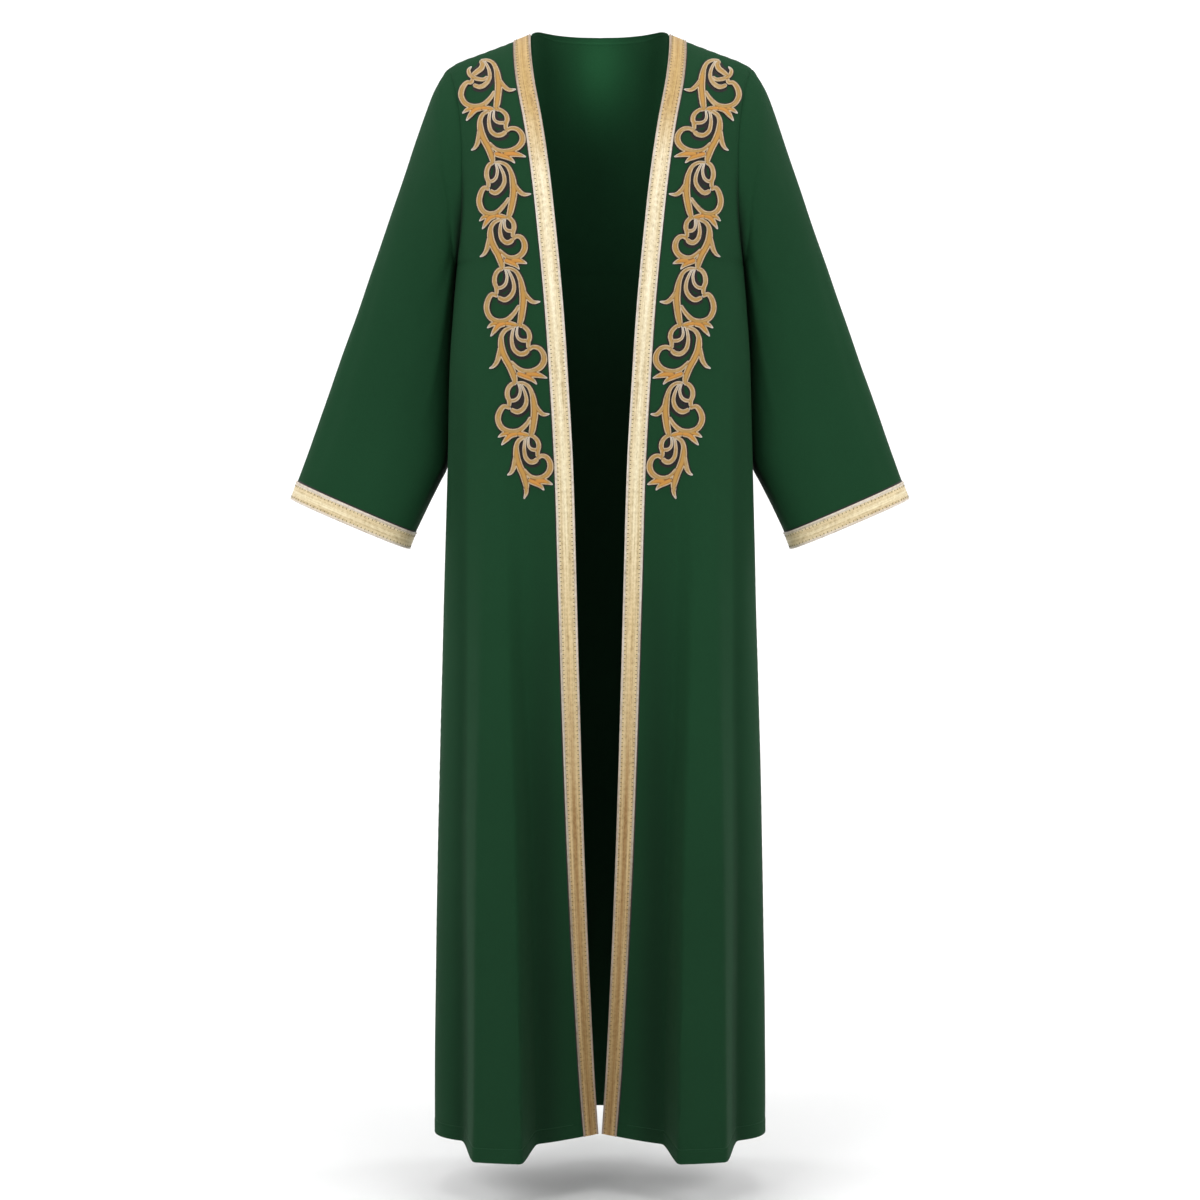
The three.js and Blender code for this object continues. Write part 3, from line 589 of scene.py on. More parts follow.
def satinMaterial(look):
    """Satin stitch: close threads across the stroke, orange gold where strokes are broad, pale where
    they are thin, and painted shade at the sides, where the padding rounds down. U is metres along the
    stroke, V from -1 to 1 across it."""
    material, tree, shader = newMaterial(
        "satin_stitch", Roughness=look["roughness"], Metallic=0.1, Specular_IOR_Level=0.35,
    )
    place, uv = coordinates(tree)
    threads = calc(tree, "SINE", calc(tree, "MULTIPLY", uv[0], 2 * math.pi / look["threadPitch"]))
    uneven = noise(tree, place["Object"], 90.0, 3.0)
    tone = toneOf(tree)
    body = ramp(tree, calc(tree, "ADD", tone, calc(tree, "MULTIPLY_ADD", uneven, 0.5, -0.25)), look["fill"])
    # painted shade: darker towards the stroke's sides
    side = ramp(tree, calc(tree, "ABSOLUTE", uv[1]), [
        (0.4, colour(255, 255, 255)), (0.95, colour(176, 140, 106)),
    ])
    height = calc(tree, "MULTIPLY_ADD", threads, 0.4, uneven)
    finishMaterial(tree, shader, blend(tree, 1.0, body, side, "MULTIPLY"), height, 0.0003, look["bump"])
    return material


def cordMaterial(name, shade, look, tip=None):
    """A twisted thread in one colour, a little uneven, going over to the tip's colour by the tone."""
    material, tree, shader = newMaterial(name, Roughness=look["roughness"], Specular_IOR_Level=0.3)
    place, uv = coordinates(tree)
    uneven = noise(tree, place["Object"], 260.0, 3.0)
    dim = tuple(0.72 * part for part in shade[:3]) + (1.0,)
    body = ramp(tree, uneven, [(0.3, dim), (0.55, shade)])
    if tip is not None:
        tone = toneOf(tree)
        body = blend(tree, tone, body, tip)
    slant = calc(tree, "MULTIPLY_ADD", uv[1], look["twistPitch"], uv[0])
    twist = calc(tree, "SINE", calc(tree, "MULTIPLY", slant, 2 * math.pi / look["twistPitch"]))
    finishMaterial(tree, shader, body, twist, 0.0002, look["bump"])
    return material


crepe = clothMaterial(clothLook)
galloon = braidMaterial(braidLook)
satin = satinMaterial(threadLook)
outlineCord = cordMaterial("outline_cord", threadLook["cord"], threadLook, threadLook["cordTip"])
groundThread = cordMaterial("ground_thread", threadLook["ground"], threadLook)
# a painted shadow strip beside each braid
edgeShadowStrip = cordMaterial("edge_shadow_strip", braidLook["outline"], threadLook)
greenThread = cordMaterial("green_thread", threadLook["stitch"], threadLook)
darkThread = cordMaterial("dark_thread", braidLook["tick"], threadLook)
print("materials ready")

# The body

bodyLook = {
    "thickness": 1.0,
    "hemDepth": 17,      # the turned hem, up to its stitching
    "neckHem": 8,
    "stitchLift": 0.1,
    "stitchPitch": 3.6,
    "stitchLength": 2.4,
    "stitchRadius": 0.3,
    "frontLow": 0.78,    # how light the cloth is painted low on the skirt: painted shade
    "backLow": 0.8,
    "insideShade": 0.7,       # and on the inside of a front or sleeve: painted shade
    "insideTop": 1.1,    # inside the back: painted light at the neck, painted shade lower down
    "insideLow": 0.55,
    "frontBySleeve": 0.82,    # how much painted shade darkens it where a sleeve lies by it
    "backBySleeve": 0.7,
}

# Painted shade down a front: how far out or from the side, how wide, and how much darker.
frontShades = {
    "hollow": (68, 22, 0.3),        # between the braid and the deep fold
    "beyondFold": (170, 14, 0.2),
    "ridge": (161.5, 2.2, -0.1),    # a thin lighter line, a painted highlight
    "side": (0, 9, 0.25),
}

hemRows = hemZ + np.array([0, 0.5, 1.2, 2.4, 5, 9, 13, 15, 16, 16.6, 17.2, 17.8, 18.6, 20, 23])
rowZ = np.concatenate([hemRows, np.arange(hemZ + 28, chestZ - 3, 6.0)])
rowAngle = np.concatenate([np.linspace(0, 85.5, 58), np.linspace(86, 90, 14)])
bodyZ = np.concatenate([rowZ, np.full(len(rowAngle), float(chestZ))])
bodyAngle = np.concatenate([np.zeros(len(rowZ)), rowAngle])
seamReach = 18       # the columns close up over this much of a row beside a seam
nearSeam = np.array([13, 9, 6.4, 4.4, 3, 2, 1.2, 0.6, 0])


def towardsSeam(count):
    """Even distances along a row that close up where it ends at a seam."""

    def spread(total):
        """Equal steps up to the last stretch, and then the close ones."""
        return np.concatenate([np.linspace(0, total - seamReach, count), total - nearSeam])

    return spread


def evenSpread(total):
    """Even distances along the middle of the back."""
    return np.linspace(0, total, 26)


def flattenSeams(normals, points, sideColumns):
    """On the side and shoulder seams both pieces take a normal without any part along Y, so that they
    meet edge to edge."""
    for column in sideColumns:
        normals[: len(rowZ), column, 1] = 0
    normals[-1, np.abs(points[-1, :, 0]) >= neckOut - 0.01, 1] = 0
    return normals / np.linalg.norm(normals, axis=2, keepdims=True)


def besideSleeve(fromSide, z):
    """1 on the strip of a panel that a sleeve lies by, 0 above and below it and further from the side: the
    mask of the painted shade by a sleeve.
    """
    tall = smooth((-z - 160) / 80) * (1 - smooth((-z - 520) / 50))
    return tall * (1 - smooth((fromSide - 1) / 10))


def shade(name, distance):
    """How much darker a front's painted shade makes a place, by a bell across it."""
    place, width, depth = frontShades[name]
    return depth * bump(distance - place, width)


def makeFront(side):
    """A front: the body's form, its creases, the seams at its side, armhole and shoulder, and its hem."""
    start, end = openingAt(bodyZ, bodyAngle), outerEnd(bodyZ, bodyAngle)
    points = walk(bodyZ, bodyAngle, start, end, True, towardsSeam(80))
    normals = flattenSeams(normalsOf(points, False), points, [points.shape[1] - 1])
    out, z = -points[..., 0], points[..., 2]
    along, up = lengths(points), lengths(np.swapaxes(points, 0, 1)).T
    fromSide, fromTop = along[:, -1:] - along, up[-1:] - up
    calm = smooth(fromSide / 22) * smooth(fromTop / 30)
    relief = frontRelief(out, z, side) * mix(0.25, 1, calm)
    relief += seamDip(fromSide, up, side) + seamDip(fromTop, along, side + 1)
    relief += hemRelief(up, bodyLook["hemDepth"])
    relief = np.where(along < braidWidth, np.minimum(relief, 0.6), relief)

    # painted shade: darker down the skirt, in the hollow beside the fold, beyond it, low along the side and
    # by the sleeve; a painted highlight on a thin ridge
    low = smooth((-z - 450) / 450)
    tone = mix(1, bodyLook["frontLow"], smooth((-z - 650) / 600))
    tone = tone - shade("hollow", out) * low - shade("ridge", out) * low
    tone = tone - shade("beyondFold", out) * smooth((out - 160) / 5) * smooth((-z - 350) / 200)
    tone = tone - shade("side", fromSide) * smooth((-z - 900) / 150)
    tone = tone * (1 - bodyLook["frontBySleeve"] * besideSleeve(fromSide, z))
    name = "front_right" if side < 0 else "front_left"
    # the inside face takes painted shade
    tones = (tone, bodyLook["insideShade"])
    piece = clothPiece(name + "_cloth", points, normals, relief, False, side, tones)
    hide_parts(name)
    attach(piece, "root")
    return piece, points, normals, relief


def makeBack():
    """The back, in one piece from side to side."""
    end = outerEnd(bodyZ, bodyAngle)
    zero, neck = np.zeros(len(bodyZ)), np.full(len(bodyZ), float(neckOut))
    middle = walk(bodyZ, bodyAngle, zero, neck, False, evenSpread)
    outer = walk(bodyZ, bodyAngle, neck, end, False, towardsSeam(36))
    half = np.concatenate([middle, outer[:, 1:]], axis=1)
    points = np.concatenate([half[:, :0:-1], half * np.array([-1, 1, 1])], axis=1)
    normals = flattenSeams(normalsOf(points, False), points, [0, points.shape[1] - 1])
    x, z = points[..., 0], points[..., 2]
    along, up = lengths(points), lengths(np.swapaxes(points, 0, 1)).T
    fromSide, fromTop = np.minimum(along, along[:, -1:] - along), up[-1:] - up
    calm = smooth(fromSide / 22) * smooth(fromTop / 30)
    relief = (creasesAt(backCreases, x, z) + waviness(x, z, 0.4)) * mix(0.2, 1, calm)
    relief += seamDip(fromSide, up, 3) + hemRelief(up, bodyLook["hemDepth"])
    isNeck = np.abs(points[-1:, :, 0]) < neckOut - 0.01
    relief += np.where(isNeck, hemRelief(fromTop, bodyLook["neckHem"]), seamDip(fromTop, along, 4))
    # painted shade: darker down the skirt and by the sleeves; inside, painted light at the neck with a
    # painted pool of light at the top of the middle, and painted shade lower down
    tone = mix(1, bodyLook["backLow"], smooth((-z - 650) / 600))
    tone = tone * (1 - bodyLook["backBySleeve"] * besideSleeve(fromSide, z))
    inside = mix(bodyLook["insideTop"], bodyLook["insideLow"], smooth((-z - 180) / 320))
    inside = inside + 1.3 * bump(x, 36) * bump(z + 40, 62)
    piece = clothPiece("back_cloth", points, normals, relief, False, -1, (tone, inside))
    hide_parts("back")
    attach(piece, "root")
    return piece, points, normals, relief


# The sleeves

# As the fronts' creases, but each end is (turn, down): the turn round the sleeve from 0 at its top
# over 1 at the underarm to 2, and the way down it from 0 to 1.
sleeveCreases = [
    (0.93, 0.02, 0.62, 0.62, 0.03, 0.035, 1.5), (0.88, 0.05, 0.44, 0.5, -0.02, 0.03, -1.3),
    (0.80, 0.00, 0.30, 0.30, 0.02, 0.03, 1.0), (0.50, 0.30, 0.56, 0.98, 0.02, 0.05, 1.3),
    (0.20, 0.35, 0.26, 0.97, -0.02, 0.05, -1.2), (1.07, 0.02, 1.36, 0.62, 0.03, 0.035, 1.4),
    (1.14, 0.04, 1.58, 0.46, 0.02, 0.03, -1.2), (1.50, 0.30, 1.44, 0.98, 0.02, 0.05, 1.2),
    (1.76, 0.40, 1.72, 0.97, 0.02, 0.05, -1.1),
]
# How much closer to the body the underarm line lies than the table's, by row.
underarmTuck = curve([0, 1, 2, 3.5], [1.9, 1.9, 1.0, 0])
angleOf = curve(np.arange(len(shoulderRows)), [row[0] for row in shoulderRows])
cuffRow = 10.0           # the cuff braid runs from this row of the table to the last
sleeveColumns = 132
cuffColumns = 240


def sleeveRings(rows, count):
    """The sleeve cut across at rows of its table, below 0 between the armhole and the first of them.
    Round each ring the turn runs 0 to 2: down the front to the underarm at 1, and up the back."""
    turn = np.arange(count) * 2.0 / count
    last = len(shoulderRows) - 1
    angle = angleOf(np.abs(1 - turn) * last)
    armholeOut = np.where(angle > 0, shoulder["armhole"](angle), section["halfWidth"](chestZ))
    front = bodyPoints(float(chestZ), angle, armholeOut, True)
    back = bodyPoints(float(chestZ), angle, armholeOut, False)
    armhole = np.where((turn < 1)[:, None], front, back)
    armhole[0, 1] = 0
    top, low = armhole[0], armhole[count // 2]
    along = (armhole[:, 2] - top[2]) / (low[2] - top[2])
    across = (armhole[:, 1] - mix(top[1], low[1], along)) / np.abs(armhole[:, 1]).max()
    power = 2 / sleeveSquare
    cosine, sine = np.cos(np.pi * turn), np.sin(np.pi * turn)
    ovalAlong = 0.5 - 0.5 * np.sign(cosine) * np.abs(cosine) ** power
    ovalAcross = -np.sign(sine) * np.abs(sine) ** power
    cut = {name: read(np.maximum(rows, 0))[:, None] for name, read in sleeveCut.items()}
    share = mix(along, ovalAlong, cut["fit"])
    rings = np.stack([
        mix(cut["outerX"], cut["innerX"] + underarmTuck(rows)[:, None], share),
        cut["middleY"] + cut["depth"] * mix(across, ovalAcross, cut["fit"]),
        mix(cut["outerZ"], cut["innerZ"], share),
    ], axis=-1)
    start = armhole + np.array([-0.1, 0, 0])
    return mix(rings, start[None], np.clip(-rows, 0, 1)[:, None, None]), turn


def sleeveRelief(turn, rows, points, side):
    """Drag lines from the underarm and soft lengthwise folds, calmer towards the armhole and cuff."""
    down = np.clip((rows + 1) / 12, 0, 1)[:, None]
    everyTurn, everyDown = np.broadcast_arrays(turn, down)
    folds = creasesAt(sleeveCreases, everyTurn, everyDown)
    wave = waviness(points[..., 2] + 150 * turn, points[..., 0] * 2, side * 2.3)
    calm = mix(0.15, 1, smooth(down * 9)) * mix(0.3, 1, smooth((1 - down) * 9))
    againstBody = bump(turn - 1, 0.1) * (1 - smooth((down - 0.3) / 0.2))
    return (folds + wave) * calm * (1 - 0.9 * againstBody)


def makeSleeve(side):
    """A sleeve, sewn in at the armhole, its end under the cuff braid."""
    nearArmhole = -1 + np.array([0, 0.05, 0.11, 0.18, 0.28, 0.42, 0.6, 0.8])
    rows = np.concatenate([nearArmhole, np.linspace(0, 11, 112)])
    points, turn = sleeveRings(rows, sleeveColumns)
    normals = normalsOf(points, True)
    normals[0, :, 0] = 0
    normals /= np.linalg.norm(normals, axis=2, keepdims=True)
    fromArmhole = lengths(np.swapaxes(points, 0, 1)).T
    relief = sleeveRelief(turn, rows, points, side) + seamDip(fromArmhole, 300 * turn[None], side)

    # deep shade where the sleeve lies by the body, and down its seam from there
    around = lengths(points)
    middle = points.shape[1] // 2
    fromUnderarm = np.abs(around - around[:, middle : middle + 1])
    reach = mix(10, 21, smooth(rows / 6))[:, None]
    byBody = mix(0.04, 1, smooth((fromUnderarm - reach) / 11))
    tone = mix(byBody, 1, smooth((rows - 7) / 3.2)[:, None])
    seamShade = smooth((-points[..., 2] - 185) / 90) * (1 - smooth((fromArmhole - 2) / 12))
    tone = tone * (1 - 0.8 * seamShade)

    # the seam allowance, turned in under the body's edge
    tucked = points[:1] + np.array([3.0, 0, 0])
    points = np.concatenate([tucked, points])
    normals = np.concatenate([normals[:1], normals])
    relief = np.concatenate([relief[:1] - 1.3, relief])
    tone = np.concatenate([tone[:1], tone])
    name = "sleeve_right" if side < 0 else "sleeve_left"
    # the inside face takes painted shade
    tones = (tone, bodyLook["insideShade"])
    piece = clothPiece(name + "_cloth", points, normals, relief, True, side, tones)
    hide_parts(name)
    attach(piece, "root")
    return piece


# Braid

braidForm = {
    "lift": 0.25,        # from the cloth to the braid's underside
    "thickness": 0.85,
    "ribFrom": 5.4,      # the middle starts this far from an edge, and stands this much higher
    "ribHeight": 0.32,
    "grooves": [(11.5, 0.9, 0.3), (8.2, 0.6, 0.14)],   # from an edge, how wide and how deep
    "cordRadius": 1.25,
    "tickFromEdge": 4.3,
    "tickPitch": 5.0,
    "tickLength": 2.3,
    "tickRadius": 0.5,
    "edgeShadowLine": 1.3,     # how far the painted shadow strip shows beside the braid
}
braidAcross = np.concatenate([
    [0, 0.12, 0.4, 0.8, 1.25, 1.7, 2.1, 2.38, 2.5, 2.9, 3.5, 4.1, 4.7, 5.3, 5.7],
    np.linspace(6.2, 16.8, 16),
    [17.3, 17.7, 18.3, 18.9, 19.5, 20.1, 20.5, 20.62, 20.9, 21.3, 21.75, 22.2, 22.6, 22.88, 23],
])


def braidHeight(across):
    """The braid's section: a round cord at both edges, a flat strip for the stitches, and low ribs in
    the middle."""
    form = braidForm
    radius = form["cordRadius"]
    fromEdge = np.minimum(across, braidWidth - across)
    cord = np.sqrt(np.maximum(0, radius**2 - (fromEdge - radius) ** 2))
    ribs = form["ribHeight"] * smooth((fromEdge - form["ribFrom"]) / 1.4)
    for place, width, depth in form["grooves"]:
        ribs = ribs - depth * bump(fromEdge - place, width)
    return np.where(fromEdge < 2 * radius, 0.35 + 1.05 * cord, form["thickness"] + ribs)


def makeBraid(name, points, normals, relief, closed, side):
    """A braid on a grid of the cloth under it, columns across its width: its top with the section's
    relief, and its two sides down to the cloth."""
    height = braidForm["lift"] + braidHeight(braidAcross)
    raised = points + normals * (relief + height)[..., None]
    base = points + normals * (relief + 0.02)[..., None]
    grid = np.concatenate([base[:, :1], raised, base[:, -1:]], axis=1)
    rows, columns = grid.shape[:2]
    if closed:
        grid = np.swapaxes(grid, 0, 1)
    faces = gridFaces(*grid.shape[:2], closed)
    if not closed:
        faces = faces[:, ::-1]
    across = np.concatenate([[0], braidAcross, [braidWidth]])
    along = lengths(np.swapaxes(points, 0, 1)).T.mean(axis=1)
    u, v = np.broadcast_to(across, (rows, columns)), np.broadcast_to(along[:, None], (rows, columns))
    if closed:
        u, v = u.T, v.T
    uv = np.stack([u, v], axis=-1).reshape(-1, 2) * 0.001
    vertices, faces = mirrored(grid.reshape(-1, 3), faces, side)
    piece = makeMesh(name + "_galloon", vertices, faces, [galloon], uv=uv)
    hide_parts(name)
    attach(piece, "root")
    return piece


def stitches(name, places, ways, ups, length, radius, material, side=-1):
    """Short round stitches: six-sided spindles of five rings, lying along ways and half sunk."""
    ways = ways / np.linalg.norm(ways, axis=1, keepdims=True)
    sideways = np.cross(ups, ways)
    step = np.linspace(-1, 1, 5)
    girth = np.sqrt(np.maximum(0.02, 1 - step**2)) * radius
    turn = np.arange(6) * math.pi / 3
    ring = (
        ways[:, None, None] * (step * length / 2)[None, :, None, None]
        + sideways[:, None, None] * (girth[:, None] * np.cos(turn))[None, ..., None]
        + ups[:, None, None] * (girth[:, None] * np.sin(turn))[None, ..., None]
    )
    points = (places[:, None, None] + ring).reshape(-1, 3)
    one = gridFaces(5, 6, True)
    faces = (one[None] + 30 * np.arange(len(places))[:, None, None]).reshape(-1, 4)
    uv = np.stack(np.broadcast_arrays(step[:, None] * length * 0.0005, turn / 6.28), axis=-1).reshape(-1, 2)
    points, faces = mirrored(points, faces, side)
    piece = makeMesh(name, points, faces, [material], uv=np.tile(uv, (len(places), 1)))
    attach(piece, "root")
    return piece


def evenly(line, values, pitch):
    """Values read at even distances along a line of points."""
    along = np.concatenate([[0], np.cumsum(np.linalg.norm(np.diff(line, axis=0), axis=1))])
    wanted = np.arange(pitch / 2, along[-1], pitch)
    return np.stack([np.interp(wanted, along, values[:, axis]) for axis in range(3)], axis=-1)


def stitchLine(name, line, normals, lift, pitch, length, radius, material, side=-1, acrossLine=False):
    """Stitches along a line on a surface, or lying across it."""
    places = evenly(line, line + normals * lift, pitch)
    ups = evenly(line, normals, pitch)
    ways = evenly(line, np.gradient(line, axis=0), pitch)
    ups = ups / np.linalg.norm(ups, axis=1, keepdims=True)
    if acrossLine:
        ways = np.cross(ways, ups)
    return stitches(name, places, ways, ups, length, radius, material, side)


def tickLine(name, line, normals, relief, side):
    """The dark stitches along one side of a braid, which lie across it."""
    form = braidForm
    lift = (relief + form["lift"] + form["thickness"])[:, None]
    size = form["tickPitch"], form["tickLength"], form["tickRadius"]
    return stitchLine(name, line, normals, lift, *size, darkThread, side, acrossLine=True)


def edgeShadowLine(name, points, normals, relief, side):
    """A narrow dark strip on the cloth just outside a braid, two columns wide: a painted shadow where the
    braid meets the cloth.
    """
    raised = points + normals * (relief + np.array([0.35, 0.12]))[..., None]
    faces = gridFaces(*relief.shape, False)[:, ::-1]
    along = lengths(np.swapaxes(points, 0, 1)).T
    uv = np.stack(np.broadcast_arrays(along, [0.0, 1.0]), axis=-1).reshape(-1, 2) * 0.001
    vertices, faces = mirrored(raised.reshape(-1, 3), faces, side)
    piece = makeMesh(name + "_edge_shadow", vertices, faces, [edgeShadowStrip], uv=uv)
    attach(piece, "root")
    return piece


def frontBraid(side):
    """The braid down a front edge and its stitches."""
    lowRows, highRows = 370, 112
    z = np.concatenate([np.linspace(hemZ, chestZ - 2.9, lowRows), np.full(highRows, float(chestZ))])
    angle = np.concatenate([np.zeros(lowRows), np.linspace(0, 90, highRows)])
    start, end = openingAt(z, angle), outerEnd(z, angle)

    def acrossBraid(total):
        """The braid's own columns and one at the end of its edge line, whatever the row's length."""
        return np.append(braidAcross, braidWidth + braidForm["edgeShadowLine"])

    points = walk(z, angle, start, end, True, acrossBraid)
    normals = normalsOf(points, False)
    relief = np.minimum(frontRelief(-points[..., 0], points[..., 2], side), 0.6)
    name = "front_braid_right" if side < 0 else "front_braid_left"
    # the painted shadow strip beside the braid
    rows = [edgeShadowLine(name, points[:, -2:], normals[:, -2:], relief[:, -2:], side)]
    points, normals, relief = points[:, :-1], normals[:, :-1], relief[:, :-1]
    piece = makeBraid(name, points, normals, relief, False, side)
    for fromEdge in (braidForm["tickFromEdge"], braidWidth - braidForm["tickFromEdge"]):
        column = int(np.argmin(np.abs(braidAcross - fromEdge)))
        line = points[:, column], normals[:, column], relief[:, column]
        rows.append(tickLine(f"{name}_stitches_{len(rows)}", *line, side))
    return piece, rows, points


def cuffBraid(side):
    """The braid round a sleeve's end and its stitches."""
    rows = cuffRow + np.insert(braidAcross, 0, -braidForm["edgeShadowLine"]) / braidWidth
    points, turn = sleeveRings(rows, cuffColumns)
    normals = normalsOf(points, True)
    relief = sleeveRelief(turn, rows, points, side)
    name = "cuff_braid_right" if side < 0 else "cuff_braid_left"
    loop = np.append(np.arange(cuffColumns), 0)
    line = [part[:2][:, loop].swapaxes(0, 1)[:, ::-1] for part in (points, normals, relief)]
    # the painted shadow strip beside the cuff braid
    ticks = [edgeShadowLine(name, *line, side)]
    points, normals, relief = points[1:], normals[1:], relief[1:]
    across = np.swapaxes(points, 0, 1), np.swapaxes(normals, 0, 1), relief.T
    piece = makeBraid(name, *across, True, side)
    for fromEdge in (braidForm["tickFromEdge"], braidWidth - braidForm["tickFromEdge"]):
        row = int(np.argmin(np.abs(braidAcross - fromEdge)))
        ticks.append(tickLine(f"{name}_stitches_{len(ticks)}", points[row], normals[row], relief[row], side))
    return piece, ticks


# Embroidery

scrollForm = {
    "sprayLength": 67,
    "endZ": -573,
    "step": 1.25,
    "lift": 0.25,
    "padding": 1.3,      # how far the middle of a wide stroke stands up
    "cordRadius": 0.85,
    "groundWider": 1.7,  # the dark ground stitching shows this far outside a stroke
    "hookGround": 4.4,   # and fills the little openings round a hook and a spiral
    "spiralGround": 3.8,
    "bandInset": 0.5,    # the satin stitch stops this far inside a stroke's side, under the cord
    "cordHeight": 0.7,
    "cordSink": 2.4,     # how far a cord dips where it would cross another stroke
}
# How far the scroll's axis lies from the braid's outer edge.
scrollAxis = table("z fromBraid", [
    (-575, 31), (-510, 34), (-445, 37), (-312, 42.8), (-180, 41), (-36, 39),
])
# Where each spray starts, and how wide its curl's side and its leaf's side are drawn. They turn out
# from the braid and in towards it by turns.
sprays = [
    (-36, 1.03, 1.02), (-104, 0.96, 0.84), (-172.5, 0.84, 1.06), (-241, 0.68, 0.91),
    (-303.5, 0.98, 1.02), (-373, 0.9, 1.0), (-443.5, 1.0, 0.9), (-507.5, 0.74, 0.75),
]
# The strokes of both kinds of spray: out from the axis towards the curl, down, and half the width.
outwardSpray = {
    "stem": [(3.6, 0.8, 1.8), (-4.9, 0.8, 2.2), (-11.9, 5.1, 2.6), (-15.7, 14.2, 3.2), (-16.8, 25.4, 4.2),
             (-16.5, 37.5, 4.6), (-14.1, 48.7, 4.4), (-11, 60, 4.0), (-9, 67, 3.0), (-12, 70.4, 1.6)],
    "leaf": [(-17.5, 27.4, 3.0), (-22, 35.5, 3.2), (-28, 40.6, 2.6), (-36.5, 40.3, 0.8)],
    "ring": [(3.6, 0.8, 2.0), (9.3, 2, 2.6), (14.6, 8.1, 2.8), (16.4, 16.2, 3.0), (14.8, 24, 2.8),
             (15.9, 31, 2.4)],
    "hook": [(3, -1, 0.8), (0.6, 4.6, 1.4), (0, 11.1, 1.8), (3, 18.9, 2.0), (8.7, 22.9, 2.2),
             (14.5, 23, 2.2)],
    "spiral": [(0, -0.5, 0.9), (-3.6, 5.5, 1.6), (-7, 16.2, 2.2), (-6.7, 25.4, 2.6), (-1.5, 33.5, 2.8),
               (6.4, 37.5, 3.0), (14.5, 34, 2.6)],
    "curl": [(14, 33, 2.4), (21.6, 30.5, 2.8), (28, 37.5, 3.4), (30.9, 47.7, 3.6), (27.2, 57.9, 3.6),
             (18.3, 62.5, 3.4), (7, 61.5, 3.2), (-3.2, 53.8, 2.6), (-11, 44, 2.0)],
    "flame": [(8, 65, 3.6), (17, 67, 3.8), (23.5, 73, 3.0), (29.7, 80, 0.8)],
    "flameOut": [(18, 64, 3.2), (26, 66, 2.8), (33, 70, 0.8)],
    "root": [(10, 65, 3.8), (2, 66, 3.4), (-6, 68, 2.6)],
}
# The topmost spray's ring stays open, and its leaf hangs lower.
firstSpray = {
    **outwardSpray,
    "ring": [(14.4, 8.5, 0.8), (18.2, 13.5, 2.2), (17.4, 19.5, 2.8), (13.0, 24.2, 3.0), (7.3, 26.8, 2.8),
             (0.7, 27.7, 2.4), (-4.6, 24, 2.0)],
    "hook": [(3.6, 0.8, 2.2), (0.6, 6.4, 3.4), (2.6, 12.2, 3.6), (8, 16.6, 3.4), (14, 21.5, 2.8)],
    "curl": [(14.5, 25, 2.2), (16, 30.5, 2.6)] + outwardSpray["curl"][1:],
    "leaf": [(-17.5, 28.5, 3.0), (-22.5, 38, 3.2), (-28.5, 43.6, 2.6), (-37, 43.2, 0.8)],
}
inwardSpray = {
    "stem": [(5.4, 1, 2.0), (-2.4, 3.2, 2.2), (-10.4, 6.7, 2.6), (-15.4, 13.2, 3.0), (-16.9, 22.1, 4.0),
             (-16.4, 30.8, 4.6), (-13.3, 39.7, 4.6), (-9.1, 48.5, 4.6), (-6.3, 57.3, 4.4), (-5.5, 66, 3.2),
             (-9, 69.8, 1.8)],
    "leaf": [(-17.5, 24, 3.0), (-20.9, 34.4, 3.2), (-24.5, 42.3, 2.8), (-29.2, 47.7, 2.0),
             (-34.8, 50.3, 0.8)],
    "ring": [(5.4, 0, 2.4), (13.5, 1.6, 2.6), (20, 7.4, 2.9), (21.2, 14.1, 3.0), (18.6, 20.3, 2.8),
             (17.5, 28, 2.4)],
    "hook": [(7.4, 0.5, 0.8), (5.2, 5.8, 1.4), (4.1, 11.5, 1.8), (5.8, 15.9, 2.0), (10.8, 18.5, 2.3),
             (18, 18.6, 2.3)],
    "spiral": [(3.6, -0.5, 1.0), (0.6, 4.6, 1.6), (-2.1, 11.5, 2.0), (-3.4, 19.4, 2.4), (-2, 28.2, 2.8),
               (4.3, 33.6, 3.0), (11.9, 33.2, 3.0), (18, 29.1, 2.6)],
    "curl": [(16, 30, 2.4), (24, 26.1, 2.6), (32.2, 27.7, 3.1), (37.1, 34.4, 3.6), (36.7, 42.3, 3.8),
             (30.6, 49.4, 3.6), (20.8, 53.5, 3.3), (10.4, 54.1, 3.0), (1.3, 51.1, 2.8), (-8, 42, 2.0)],
    "flameOut": [(10, 57.5, 4.2), (22, 57.5, 4.2), (31, 59.5, 2.8), (38.6, 62, 0.8)],
    "flameDown": [(-2, 56, 3.8), (10, 60, 3.8), (18.5, 64, 2.8), (23.6, 69.2, 0.8)],
}
tail = [(-6, 64, 3.4), (-6, 72, 2.6), (-10, 80, 0.8)]


def strokeLine(rows, step):
    """Places and half widths at even steps along a charted stroke, its ends rounded off."""
    rows = np.array(rows, float)
    chord = np.concatenate([[0], np.cumsum(np.hypot(*np.diff(rows[:, :2], axis=0).T))])
    fine = np.linspace(0, chord[-1], 400)
    values = np.stack([curve(chord, column)(fine) for column in rows.T], axis=-1)
    along = np.concatenate([[0], np.cumsum(np.hypot(*np.diff(values[:, :2], axis=0).T))])
    count = max(8, int(along[-1] / step))
    wanted = np.linspace(0, along[-1], count)
    line = np.stack([np.interp(wanted, along, column) for column in values.T], axis=-1)
    for fromEnd in (wanted, along[-1] - wanted):
        reach = 1 - np.clip(fromEnd / np.maximum(0.6, 0.9 * line[:, 2]), 0, 1)
        line[:, 2] *= np.sqrt(np.maximum(0.01, 1 - reach**2))
    return line, wanted


